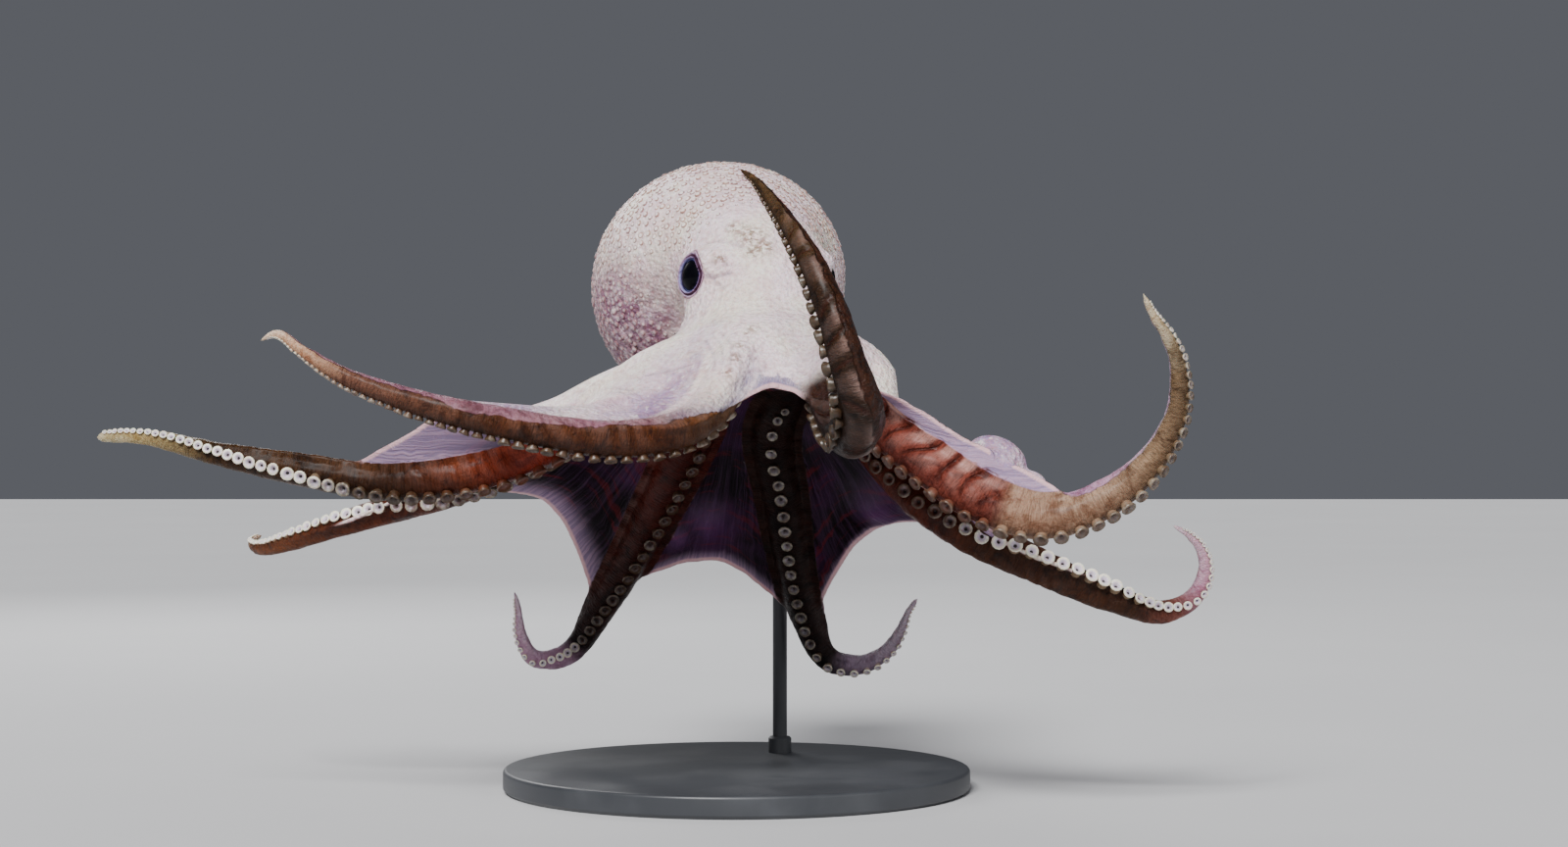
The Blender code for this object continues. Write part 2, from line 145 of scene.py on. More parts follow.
def through(rows, steps_between=CURVE_STEPS):
    """A curve through the rows of numbers that rounds every corner."""
    rows = np.asarray(rows, float)
    padded = np.vstack([2.0 * rows[0] - rows[1], rows, 2.0 * rows[-1] - rows[-2]])
    t = np.linspace(0.0, 1.0, steps_between, endpoint=False)[:, None]
    pieces = []
    for a, b, c, d in zip(padded, padded[1:], padded[2:], padded[3:]):
        pieces.append(0.5 * (2.0 * b + (c - a) * t + (2.0 * a - 5.0 * b + 4.0 * c - d) * t ** 2
                             + (3.0 * b - a - 3.0 * c + d) * t ** 3))
    return np.vstack(pieces + [rows[-1:]])


first_rings = [arm_rings[name][0] for name in ARM_ORDER]
crown_middle = np.mean([middle for middle, _, _ in first_rings], axis=0)
crown_up = -unit(np.mean([oral for _, _, oral in first_rings], axis=0))


class Arm:
    """An arm's line, read at shares of its length. Below 0 it runs in to the mouth."""

    def __init__(self, rings):
        root, root_radius, root_oral = rings[0]
        spoke = unit(root - crown_middle)
        rows = [np.concatenate([root - spoke * inward * MM, root_oral, [root_radius * slim]])
                for inward, slim in MOUTH_RUN]
        rows += [np.concatenate([middle, oral, [radius]]) for middle, radius, oral in rings]
        fine = through(rows)
        gone = np.linalg.norm(np.diff(fine[:, :3], axis=0), axis=1)
        gone = np.concatenate([[0.0], np.cumsum(gone)])
        lead = gone[len(MOUTH_RUN) * CURVE_STEPS]
        gone = gone - lead
        self.length = gone[-1]
        self.start = -lead / self.length
        self.shares = np.linspace(self.start, 1.0, LINE_STEPS)
        even = np.stack([np.interp(self.shares * self.length, gone, column)
                         for column in fine.T], axis=1)
        self.middle = even[:, :3]
        self.ahead = unit(np.gradient(self.middle, axis=0))
        oral = even[:, 3:6]
        along = np.sum(oral * self.ahead, axis=1, keepdims=True)
        self.oral = unit(oral - self.ahead * along)
        self.radii = even[:, 6]

    def _read(self, rows, shares):
        return np.stack([np.interp(shares, self.shares, column) for column in rows.T], axis=1)

    def at(self, shares):
        """Middle, direction, sucker side, flank and radius at each share."""
        shares = np.atleast_1d(np.asarray(shares, float))
        ahead = unit(self._read(self.ahead, shares))
        oral = unit(self._read(self.oral, shares))
        radius = np.interp(shares, self.shares, self.radii)
        return self._read(self.middle, shares), ahead, oral, np.cross(ahead, oral), radius


arms = {name: Arm(arm_rings[name]) for name in ARM_ORDER}
print("crown middle in mm:", (crown_middle / MM).round(1), "up:", crown_up.round(3))
print("arm lengths in mm:", {name: round(arm.length / MM) for name, arm in arms.items()})

# %% [markdown]
# ## Flat grids, bent into place
#
# Nearly every part of the animal is either a sheet, such as the web, or a tube, such as an
# arm. Both can start as one flat grid. A function says where each corner of the grid goes,
# with its two directions running from 0 to 1. A tube is the same grid rolled up, with its
# sides sewn together and its ends filled, so that one helper serves the whole body.

# %% Sheets and tubes from a grid


def bent_grid(columns, rows, place):
    """A grid whose corners go where place(across, along) says."""
    shape = bmesh.new()
    bmesh.ops.create_grid(shape, x_segments=columns, y_segments=rows, size=0.5)
    across = np.array([corner.co.x + 0.5 for corner in shape.verts])
    along = np.array([corner.co.y + 0.5 for corner in shape.verts])
    for corner, point in zip(shape.verts, place(across, along)):
        corner.co = point
    return shape


def rolled_up(columns, rows, place):
    """The same grid as a closed tube: across runs once round it."""
    shape = bent_grid(columns, rows, place)
    bmesh.ops.remove_doubles(shape, verts=shape.verts[:], dist=0.001 * MM)
    open_edges = [edge for edge in shape.edges if edge.is_boundary]
    bmesh.ops.holes_fill(shape, edges=open_edges, sides=columns)
    bmesh.ops.recalc_face_normals(shape, faces=shape.faces[:])
    return shape


def ramp(values, start, end):
    """0 before start, 1 past end, and a soft step between. It also runs backwards."""
    t = np.clip((values - start) / (end - start), 0.0, 1.0)
    return t * t * (3.0 - 2.0 * t)


# %% [markdown]
# ## The arms' flesh
#
# An octopus arm is nearly all muscle. Its back is round, its flanks are flatter, and it
# narrows to a ridge that carries one row of suckers. The tubes start near the mouth, so that
# no joint shows where they leave the crown, and close in a small round tip.

# %% Tubes for the eight arms
ARM_COLUMNS = 28
ARM_ROWS = 190
ARM_WIDTH = 0.85             # half-width, as a share of the radius
ARM_BACK = 0.74
ARM_FRONT = 0.80             # the suckers fill the rest of the solid's depth
TIP_START = 0.985


def arm_section(turns):
    """Depth towards the suckers and width, as shares of the radius, round the arm."""
    toward = np.cos(2.0 * math.pi * turns)
    beside = np.sin(2.0 * math.pi * turns)
    front = np.clip(toward, 0.0, 1.0)
    depth = np.where(toward > 0.0, ARM_FRONT * front ** 0.85, ARM_BACK * toward)
    width = ARM_WIDTH * np.sign(beside) * np.abs(beside) ** 0.85 * (1.0 - 0.18 * front)
    return depth, width


def arm_surface(arm):
    def place(across, along):
        shares = arm.start + (1.0 - arm.start) * along
        middle, _, oral, flank, radius = arm.at(shares)
        past = np.clip((shares - TIP_START) / (1.0 - TIP_START), 0.0, 0.995)
        radius = radius * np.sqrt(1.0 - past ** 2)
        depth, width = arm_section(across)
        return middle + oral * (radius * depth)[:, None] + flank * (radius * width)[:, None]
    return place


flesh = [rolled_up(ARM_COLUMNS, ARM_ROWS, arm_surface(arm)) for arm in arms.values()]
print("arm tubes:", len(flesh), "with", len(flesh[0].faces), "faces each")

# %% [markdown]
# ## The crown
#
# The arms meet in a short thick disc, the crown, with the mouth in the middle of its
# underside. The disc is a turned shape, so its outline from the rim to the mouth is a short
# profile. The lips are puckered by making their radius swing in and out round the mouth.

# %% The crown, with the lips of the mouth
CROWN_PROFILE = [             # radius and height from the arms' middles, in mm
    (34.0, 17.0), (43.0, 11.5), (46.0, 4.0), (44.0, -1.0), (36.0, -4.0), (24.0, -6.5),
    (13.0, -8.5), (9.5, -12.5), (7.0, -13.6), (4.0, -12.0), (2.2, -8.0), (0.3, -6.0)]
CROWN_COLUMNS, CROWN_ROWS = 72, 40
CROWN_APRON = 0.24           # the front, where no arm hangs down, reaches this much further
APRON_RISE = 4.0 * MM

crown_front = unit(np.cross(np.cross(crown_up, [0.0, -1.0, 0.0]), crown_up))
crown_side = np.cross(crown_up, crown_front)
profile_line = through(CROWN_PROFILE, 4) * MM


def crown_surface(across, along):
    angle = 2.0 * math.pi * across
    step = along * (len(profile_line) - 1)
    radius = np.interp(step, np.arange(len(profile_line)), profile_line[:, 0])
    height = np.interp(step, np.arange(len(profile_line)), profile_line[:, 1])
    pucker = 1.0 + 0.05 * np.cos(16.0 * angle) * ramp(radius, 14.0 * MM, 8.0 * MM)
    front = ramp(np.cos(angle), 0.35, 0.9) * ramp(radius, 22.0 * MM, 46.0 * MM)
    radius = radius * (1.0 + CROWN_APRON * front)
    height = height + APRON_RISE * front * ramp(height, 2.0 * MM, -4.0 * MM)
    around = crown_front * np.cos(angle)[:, None] + crown_side * np.sin(angle)[:, None]
    return crown_middle + around * (radius * pucker)[:, None] + crown_up * height[:, None]


flesh.append(rolled_up(CROWN_COLUMNS, CROWN_ROWS, crown_surface))
print("crown faces:", len(flesh[-1].faces))

# %% [markdown]
# ## Head and mantle
#
# Head and mantle are one long rounded body that rises from the crown and bends back. Its
# outline is a row of ellipses. Each has a middle, a half-width, a half-height and a pitch,
# which turns it from level at the neck to upright at the mantle. The head looks 15 degrees
# to one side, and that turn is shared by all of them.

# %% The body as a row of ellipses
HEAD_YAW = math.radians(15.0)
BODY_SECTIONS = [             # x, y, z, half-width, half-height in mm, and pitch
    (16.8, -71.0, 226.0, 46.0, 44.0, -11.0), (16.6, -70.0, 238.0, 46.5, 44.0, -3.0),
    (15.0, -66.5, 252.5, 41.0, 38.0, 16.0), (12.5, -60.0, 262.0, 38.6, 35.5, 29.0),
    (9.5, -50.0, 270.0, 38.6, 37.5, 50.0), (6.5, -37.0, 275.0, 42.5, 42.0, 70.0),
    (2.9, -22.5, 276.5, 50.4, 48.9, 82.0), (-0.5, -11.0, 277.0, 58.0, 55.0, 86.0),
    (-4.5, 4.0, 275.0, 65.0, 61.0, 88.0), (-9.0, 22.0, 272.0, 68.5, 65.5, 90.0),
    (-13.5, 40.0, 269.5, 68.0, 66.0, 92.0), (-17.5, 57.0, 267.5, 63.0, 62.0, 94.0),
    (-21.0, 72.0, 266.0, 54.0, 53.0, 96.0), (-23.5, 83.0, 265.0, 42.0, 41.0, 98.0),
    (-25.3, 90.0, 264.0, 27.0, 26.0, 98.0), (-26.2, 93.4, 263.5, 12.0, 11.5, 98.0),
    (-26.4, 94.0, 263.5, 1.0, 1.0, 98.0)]
BODY_COLUMNS = 96
BODY_ROWS = 120

head_ahead = np.array([math.sin(HEAD_YAW), -math.cos(HEAD_YAW), 0.0])
head_right = np.array([-math.cos(HEAD_YAW), -math.sin(HEAD_YAW), 0.0])
upright = np.array([0.0, 0.0, 1.0])
body_line = through(BODY_SECTIONS, 10)


def ellipses(line, across, along):
    """Points on a row of pitched ellipses."""
    step = along * (len(line) - 1)
    x, y, z, half_width, half_height, pitch = (
        np.interp(step, np.arange(len(line)), column) for column in line.T)
    angle = 2.0 * math.pi * across
    pitch = np.radians(pitch)[:, None]
    steep = head_ahead * np.cos(pitch) + upright * np.sin(pitch)
    points = np.stack([x, y, z], axis=1) + head_right * (half_width * np.sin(angle))[:, None]
    return (points + steep * (half_height * np.cos(angle))[:, None]) * MM


flesh.append(rolled_up(BODY_COLUMNS, BODY_ROWS,
                       lambda across, along: ellipses(body_line, across, along)))
print("body faces:", len(flesh[-1].faces))

# %% [markdown]
# ## The funnel
#
# Under the head an octopus has a funnel, the spout it swims with. It is a tube with an open
# mouth, so its rows run down the outside, turn over the lip and come back up inside.

# %% The funnel, lined inside
FUNNEL_SECTIONS = [
    (6.0, -15.0, 220.0, 11.5, 3.2, 135.0), (7.0, -6.0, 212.5, 8.5, 4.2, 135.0),
    (8.0, 4.0, 204.5, 6.5, 4.8, 135.0), (8.5, 13.0, 197.5, 6.0, 5.2, 135.0),
    (9.0, 21.0, 191.5, 6.0, 5.2, 135.0), (9.0, 20.8, 191.6, 4.6, 3.9, 135.0),
    (8.5, 13.0, 197.5, 3.9, 3.2, 135.0), (8.2, 8.0, 201.5, 3.2, 2.6, 135.0)]
funnel_line = through(FUNNEL_SECTIONS, 6)
flesh.append(rolled_up(36, 60, lambda across, along: ellipses(funnel_line, across, along)))
print("funnel faces:", len(flesh[-1].faces))

# %% [markdown]
# ## The web
#
# A thin web joins the arms for about half their length, like the cloth of an umbrella. Each
# sector is a sheet that follows the arm on either side. Midway it reaches less far, which
# gives the scalloped margin, and it billows upwards. Some sectors have puffed up between
# cross folds, one stands up steeply beside its arm, and fine pleats run out from the crown.
# The sheet is sunk into the arms' flesh at its sides and gets its thickness last.

# %% Eight sectors of web
WEB_LIFT = 0.55              # the web joins an arm's flank this far towards its back
WEB_SINK = 0.45              # how far out its edge lies, from the arm's middle to its skin
WEB_THICKNESS = 2.6 * MM     # thinned again once the skin has grown together
WEB_START = -0.10            # the sheet starts inside the crown
WEB_TUCK = 90.0 * MM
WEB_COLUMNS = 56
WEB_ROWS = 64
PLEATS = [(19.0, 0.4, 0.30), (31.0, 2.1, 0.26), (47.0, 4.4, 0.16), (71.0, 1.3, 0.10)]
HEM_RADIUS = 1.5 * MM
WEBS = {                     # shares of the arms where its two sides end, how far out it is midway,
    #                          how it billows, and how many times and how much it puffs up
    "r1": dict(reach=(0.66, 0.60), middle=0.84, billow=0.22, puffs=2.0, puff=0.030),
    "r2": dict(reach=(0.56, 0.56), middle=0.84, billow=0.32, puffs=2.0, puff=0.030),
    "r3": dict(reach=(0.54, 0.64), middle=0.84, billow=0.15, puffs=2.5, puff=0.030),
    "r4": dict(reach=(0.56, 0.62), middle=0.80, billow=-0.03, rim=4.0, puffs=2.0, puff=0.015),
    "l4": dict(reach=(0.62, 0.48), middle=0.86, billow=0.14, puffs=2.5, puff=0.035),
    "l3": dict(reach=(0.46, 0.44), middle=0.84, billow=0.30, puffs=3.0, puff=0.070),
    "l2": dict(reach=(0.54, 0.20), middle=0.86, billow=0.18, full=0.4),
    "l1": dict(reach=(0.24, 0.26), middle=0.62, billow=0.04)}
ARM_ROOT_HEIGHT = 8.0        # of the arms' middles above the crown plane, in mm


def web_hold(arm, shares, neighbour, outward=WEB_SINK):
    """Where a web that comes from the neighbour holds on to this arm."""
    middle, ahead, oral, flank, radius = arm.at(shares)
    towards = neighbour.at(shares)[0] - middle
    towards = unit(towards - ahead * np.sum(towards * ahead, axis=1, keepdims=True))
    way = unit(towards - WEB_LIFT * oral)
    across = np.sum(way * flank, axis=1) / ARM_WIDTH
    depth = np.sum(way * oral, axis=1)
    depth = depth / np.where(depth > 0.0, SUCKER_DEPTH, BACK_DEPTH)
    return middle + way * (radius / np.hypot(across, depth) * outward)[:, None]


def web_surface(arm, beside, reach, middle, billow, rim=15.0, puffs=0.0, puff=0.0, full=1.0):
    """A sheet between two arms. The height of its root over the crown is rim, in mm."""
    def place(across, along):
        along = WEB_START + (1.0 - WEB_START) * along
        arch = np.sin(math.pi * across)
        shares = along * (1.0 - (1.0 - middle) * arch)
        one = web_hold(arm, shares * reach[0], beside)
        other = web_hold(beside, shares * reach[1], arm)
        u = across[:, None]
        chord = one * (1.0 - u) + other * u
        width = np.linalg.norm(one - other, axis=1)
        still = np.zeros(1)
        root = (web_hold(arm, still, beside) * (1.0 - u) + web_hold(beside, still, arm) * u)
        spoke = arm.at(0.0)[0][0] - crown_middle
        outward = unit(spoke * (1.0 - u) + (beside.at(0.0)[0][0] - crown_middle) * u)
        at_crown = crown_middle + outward * np.linalg.norm(spoke)
        at_crown = at_crown + crown_up * (rim - ARM_ROOT_HEIGHT) * MM
        pull = np.clip(1.0 - along, 0.0, 1.0)[:, None] ** 2
        at_crown = at_crown - outward * (np.clip(-along, 0.0, 1.0) * WEB_TUCK)[:, None]
        rise = np.sin(0.5 * math.pi * np.clip(along, 0.0, 1.0)) ** 0.5
        lift = billow * width * np.clip(arch, 0.0, 1.0) ** full * rise
        swell = np.sqrt(np.sin(math.pi * puffs * along) ** 2 + 0.04) - 0.6
        lift = lift + puff * width * arch ** 0.7 * swell * rise
        pleats = sum(height * np.sin(count * across + phase + 3.0 * along)
                     for count, phase, height in PLEATS)
        lift = lift + pleats * MM * np.sqrt(arch) * rise
        return chord + (at_crown - root) * pull + crown_up * lift[:, None]
    return place


def web_sheet(name):
    beside = arms[ARM_ORDER[(ARM_ORDER.index(name) + 1) % len(ARM_ORDER)]]
    return web_surface(arms[name], beside, **WEBS[name])


def thickened(sheet, thickness):
    """A sheet given this thickness, half of it to each side."""
    bmesh.ops.recalc_face_normals(sheet, faces=sheet.faces[:])
    halves = {corner: corner.normal * thickness * 0.5 for corner in sheet.verts}
    for corner, half in halves.items():
        corner.co -= half
    bmesh.ops.solidify(sheet, geom=sheet.faces[:], thickness=-thickness)
    bmesh.ops.recalc_face_normals(sheet, faces=sheet.faces[:])
    return sheet


def hem_surface(place):
    """A thin round cord along a sheet's outer margin."""
    def around(across, along):
        margin = place(along, np.ones(len(along)))
        inside = place(along, np.full(len(along), 0.98))
        outward = unit(margin - inside)
        ahead = unit(place(np.clip(along + 0.01, 0.0, 1.0), np.ones(len(along)))
                     - place(np.clip(along - 0.01, 0.0, 1.0), np.ones(len(along))))
        upward = np.cross(ahead, outward)
        angle = 2.0 * math.pi * across
        return (margin + outward * (HEM_RADIUS * np.cos(angle))[:, None]
                + upward * (HEM_RADIUS * np.sin(angle))[:, None])
    return around


RIM_STEPS = np.linspace(0.0, 1.0, 160)
rims = []
for name in ARM_ORDER:
    surface = web_sheet(name)
    flesh.append(thickened(bent_grid(WEB_COLUMNS, WEB_ROWS, surface), WEB_THICKNESS))
    flesh.append(rolled_up(10, 70, hem_surface(surface)))
    rims.append(surface(RIM_STEPS, np.ones(len(RIM_STEPS))))
print("pieces of flesh:", len(flesh))

# %% [markdown]
# ## Keels along the arms
#
# Where the web ends, a low fold of it runs on along the arm and fades out. It is a narrow
# sheet that starts inside the arm and stands out towards the neighbour, so the same function
# that says where the web holds on gives its foot.

# %% Folds that carry the web on along the arms
KEEL_FADE = 0.26             # share of the arm over which a fold dies away
KEEL_HEIGHT = 3.2            # in mm
KEEL_HEIGHTS = {("l1", "l2"): 3.5, ("l2", "l3"): 5.0, ("r1", "r2"): 4.5}
KEEL_FADES = {("l1", "l2"): 0.42, ("l2", "l3"): 0.38, ("r4", "r3"): 0.10, ("r4", "l4"): 0.10,
              ("l4", "r4"): 0.10, ("l4", "l3"): 0.10}
KEEL_SUNK = 1.6              # how deep a fold's ends go under the arm's skin, in mm


def keel_surface(name, neighbour, reach):
    arm, beside = arms[name], arms[neighbour]
    height = KEEL_HEIGHTS.get((name, neighbour), KEEL_HEIGHT) * MM
    fade = KEEL_FADES.get((name, neighbour), KEEL_FADE)

    def place(across, along):
        shares = reach - 0.12 + (fade + 0.12) * along
        foot = web_hold(arm, shares, beside)
        skin_line = web_hold(arm, shares, beside, outward=1.0)
        tall = (height + KEEL_SUNK * MM) * np.sin(math.pi * np.clip(along, 0.0, 1.0) ** 0.7)
        tall = tall - KEEL_SUNK * MM
        top = skin_line + unit(skin_line - foot) * tall[:, None]
        return foot + (top - foot) * across[:, None]
    return place


for name in ARM_ORDER:
    beside = ARM_ORDER[(ARM_ORDER.index(name) + 1) % len(ARM_ORDER)]
    for arm_name, neighbour, reach in ((name, beside, WEBS[name]["reach"][0]),
                                       (beside, name, WEBS[name]["reach"][1])):
        surface = keel_surface(arm_name, neighbour, reach)
        flesh.append(thickened(bent_grid(10, 60, surface), WEB_THICKNESS))
        rims.append(surface(np.ones(len(RIM_STEPS)), RIM_STEPS))
print("pieces of flesh:", len(flesh))

# %% [markdown]
# ## Blisters of slack web
#
# Behind the arm that bends up at one side, the slack web has filled and stands up in two
# rounded blisters. Each is a ball, stretched along the arm and half sunk in its back.

# %% Two balls behind an arm
BLISTERS = [                 # arm, share, steps back and up, and radius in mm
    ("l2", 0.385, 18.0, 8.0, 11.5), ("l2", 0.460, 14.0, 6.0, 6.5)]
BLISTER_STRETCH = 1.4
blister_balls = []
for name, share, back, rise, radius in BLISTERS:
    middle, ahead, oral, _, _ = (row[0] for row in arms[name].at(share))
    centre = middle + (upright * rise - oral * back) * MM
    ball = bmesh.new()
    bmesh.ops.create_uvsphere(ball, u_segments=32, v_segments=20, radius=radius * MM)
    for corner in ball.verts:
        corner.co += Vector(ahead) * (corner.co.dot(Vector(ahead)) * (BLISTER_STRETCH - 1.0))
    bmesh.ops.translate(ball, verts=ball.verts[:], vec=centre)
    flesh.append(ball)
    blister_balls.append((centre, ahead, radius * MM))
print("blisters at:", [(centre / MM).round(1) for centre, _, _ in blister_balls])

# %% [markdown]
# ## Orbits for the eyes
#
# The large eyes push the skin of the head out in two round bulges. Their places come from
# the eye solids in the frame. Each eye looks mostly sideways, a little ahead and up.

# %% Round bulges behind the eyelids
ORBIT_RADIUS = 14.8 * MM
EYE_AHEAD = math.radians(20.0)
EYE_RISE = 0.08


class Eye:
    """An eye's middle and size, read from its solid, and the three ways it faces."""

    def __init__(self, node, side):
        low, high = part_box(node)
        self.node = node
        self.middle = np.array((low + high) * 0.5)
        self.radius = 0.5 * (high.z - low.z)
        self.axis = unit(side * head_right * math.cos(EYE_AHEAD)
                         + head_ahead * math.sin(EYE_AHEAD) + upright * EYE_RISE)
        self.up = unit(upright - self.axis * self.axis[2])
        self.front = side * np.cross(self.up, self.axis)


eyes = [Eye("eye_right", 1.0), Eye("eye_left", -1.0)]
for eye in eyes:
    orbit = bmesh.new()
    bmesh.ops.create_uvsphere(orbit, u_segments=40, v_segments=24, radius=ORBIT_RADIUS)
    bmesh.ops.translate(orbit, verts=orbit.verts[:], vec=eye.middle)
    flesh.append(orbit)
print("eyes:", [(eye.node, (eye.middle / MM).round(1), eye.axis.round(2)) for eye in eyes])

# %% [markdown]
# ## One skin over all of it
#
# The tubes and sheets run through each other, and a real animal has no such seams. A voxel
# remesh rebuilds their shared outside as one closed surface of even small faces. It loses
# any detail finer than a voxel, so wrinkles and eyelids come after it.

# %% Grow the flesh together
VOXEL = 1.0 * MM


def mesh_of(shape, name):
    """Turns an editable shape into a mesh, and frees the shape."""
    mesh = bpy.data.meshes.new(name)
    shape.to_mesh(mesh)
    shape.free()
    return mesh


def joined(shapes, name):
    whole = bmesh.new()
    for shape in shapes:
        part = mesh_of(shape, "part")
        whole.from_mesh(part)
        bpy.data.meshes.remove(part)
    return mesh_of(whole, name)


def placed(name, data):
    """A new object of the scene that shows this data."""
    made = bpy.data.objects.new(name, data)
    bpy.context.scene.collection.objects.link(made)
    return made


def applied(ob):
    """Bakes the object's modifiers into its mesh."""
    made = bpy.data.meshes.new_from_object(
        ob.evaluated_get(bpy.context.evaluated_depsgraph_get()))
    made.name = ob.data.name
    ob.modifiers.clear()
    ob.data = made
    return ob


skin = placed("skin", joined(flesh, "skin"))
grow = skin.modifiers.new("grow_together", "REMESH")
grow.mode = "VOXEL"
grow.voxel_size = VOXEL
applied(skin)
print("skin after the remesh:", len(skin.data.vertices), "corners")

# %% [markdown]
# ## Smooth where the parts meet
#
# Relaxing moves each corner part of the way to the average of its neighbours. A little of it
# everywhere takes off the voxels' stair steps. Much more of it round the crown melts arms,
# web and head into the one flaring skirt that the living animal has there.

# %% Relax the skin
SKIRT_NEAR = 60.0 * MM       # full smoothing this close to the crown's middle
SKIRT_FAR = 105.0 * MM
STAIR_ROUNDS, RIM_ROUNDS, SKIRT_ROUNDS = 4, 16, 360


def read_points(mesh):
    points = np.empty(len(mesh.vertices) * 3)
    mesh.vertices.foreach_get("co", points)
    return points.reshape(-1, 3)


def read_edges(mesh):
    edges = np.empty(len(mesh.edges) * 2, int)
    mesh.edges.foreach_get("vertices", edges)
    return edges.reshape(-1, 2)


def relax(points, edges, rounds, amount):
    """Moves points to their neighbours' average, by an amount that may differ per point."""
    amount = amount * np.ones(len(points))
    used = edges[(amount[edges] > 0.0).any(axis=1)]
    chosen, used = np.unique(used, return_inverse=True)
    start, end = used.reshape(-1, 2).T
    size = len(chosen)
    moving = points[chosen]
    amount = amount[chosen, None]
    count = np.bincount(np.concatenate([start, end]), minlength=size)[:, None]
    for _ in range(rounds):
        total = np.stack([np.bincount(start, moving[end, axis], size)
                          + np.bincount(end, moving[start, axis], size)
                          for axis in range(3)], axis=1)
        moving = moving + amount * (total / count - moving)
    relaxed = points.copy()
    relaxed[chosen] = moving
    return relaxed


def tree_of(points):
    tree = KDTree(len(points))
    for number, point in enumerate(points):
        tree.insert(point, number)
    tree.balance()
    return tree


def nearest(tree, points):
    """The number of the nearest point in the tree and the gap to it, for every point."""
    found = np.array([tree.find(point)[1:] for point in points])
    return found[:, 0].astype(int), found[:, 1]


points = read_points(skin.data)
edges = read_edges(skin.data)
points = relax(points, edges, STAIR_ROUNDS, 0.5)
from_rim = nearest(tree_of(np.vstack(rims)), points)[1]
points = relax(points, edges, RIM_ROUNDS, 0.5 * ramp(from_rim, 5.0 * MM, 2.5 * MM))
from_crown = points - crown_middle
above = from_crown @ crown_up
skirt = ramp(np.linalg.norm(from_crown, axis=1), SKIRT_FAR, SKIRT_NEAR)
skirt *= ramp(above, -9.0 * MM, 2.0 * MM)
points = relax(points, edges, SKIRT_ROUNDS, 0.5 * skirt * ramp(from_rim, 2.0 * MM, 7.0 * MM))
skin.data.vertices.foreach_set("co", points.ravel())
print("relaxed:", len(points), "corners, in the skirt:", int((skirt > 0.5).sum()))

# %% [markdown]
# ## Knowing where on the animal a point lies
#
# Colour and creases follow the body: the skin is white on the outside, orange brown on the
# arms' sides, and dark purple inside the web. So each corner of the skin asks two search
# trees for its nearest place on an arm and on a web sheet. From those come its share of the
# arm's length, how far it lies towards the suckers, and which side of the web it is on.
# These are stored as attributes that the materials read later.

# %% Where each corner belongs
WEB_GRID = np.linspace(0.0, 1.0, 40)
PLACE, AHEAD, ORAL, FLANK = slice(0, 3), slice(3, 6), slice(6, 9), slice(9, 12)
RADIUS, SHARE, RUN, ARM_NUMBER = 12, 13, 14, 15              # columns of arm_rows
OUT_OF_WEB, ACROSS, ALONG = slice(3, 6), 6, 7                # and of web_rows
PER_ACROSS, PER_ALONG, SECTOR = slice(8, 11), slice(11, 14), 14
NUDGE = 0.01                 # a small step over the sheet, to measure its slopes by


def dots(one, other):
    return np.sum(one * other, axis=1)


def by_arm(table, numbers, usual=None):
    """The table's row for every arm number, or the usual row for an arm that has none."""
    return np.array([table.get(name, usual) for name in ARM_ORDER])[numbers]


arm_rows = []
for number, arm in enumerate(arms.values()):
    middle, ahead, oral, flank, radius = arm.at(arm.shares)
    arm_rows.append(np.column_stack([middle, ahead, oral, flank, radius, arm.shares,
                                     arm.shares * arm.length, np.full(len(radius), number)]))
arm_rows = np.vstack(arm_rows)
arm_tree = tree_of(arm_rows[:, PLACE])

web_rows = []
across, along = (side.ravel() for side in np.meshgrid(WEB_GRID, WEB_GRID))
for number, name in enumerate(ARM_ORDER):
    surface = web_sheet(name)
    over = (surface(np.clip(across + NUDGE, 0.0, 1.0), along)
            - surface(np.clip(across - NUDGE, 0.0, 1.0), along))
    out = (surface(across, np.clip(along + NUDGE, 0.0, 1.0))
           - surface(across, np.clip(along - NUDGE, 0.0, 1.0)))
    here = surface(across, along)
    over, out = (step / dots(step, step)[:, None] * (2.0 * NUDGE) for step in (over, out))
    web_rows.append(np.column_stack([here, unit(np.cross(over, out)), across, along, over, out,
                                     np.full(len(across), number)]))
web_rows = np.vstack(web_rows)
web_rows[:, OUT_OF_WEB] *= np.sign(np.mean(web_rows[:, OUT_OF_WEB] @ crown_up))
web_tree = tree_of(web_rows[:, PLACE])
margin_steps = np.linspace(0.0, 1.0, 500)
margin_tree = tree_of(np.vstack([web_sheet(name)(margin_steps, np.ones(len(margin_steps)))
                                 for name in ARM_ORDER]))
BORDER = 0.40                # the white back ends this far up the flank, as a share of radius
PADDED = "l2"                # this arm's flesh runs on up the inside of its web
PADDED_MARGIN = (7.0 * MM, 10.0 * MM)
FRONT_SECTOR, HEM_ARM = ARM_ORDER.index("l1"), ARM_ORDER.index("r1")
ARM_SKIN = (1.32, 1.04)              # between these shares of its radius an arm's skin ends
WEB_SKIN = (8.0 * MM, 5.0 * MM)      # from the sheet, for the web's skin
MOUTH_SKIN = (66.0 * MM, 54.0 * MM)  # from the crown's middle, for the inside round the mouth
ROOT_SKIN = (75.0 * MM, 50.0 * MM)   # from there too, for the white over the arms' roots
padded_number = ARM_ORDER.index(PADDED)
padded_rows = arm_rows[arm_rows[:, ARM_NUMBER] == padded_number]
padded_tree = tree_of(padded_rows[:, PLACE])


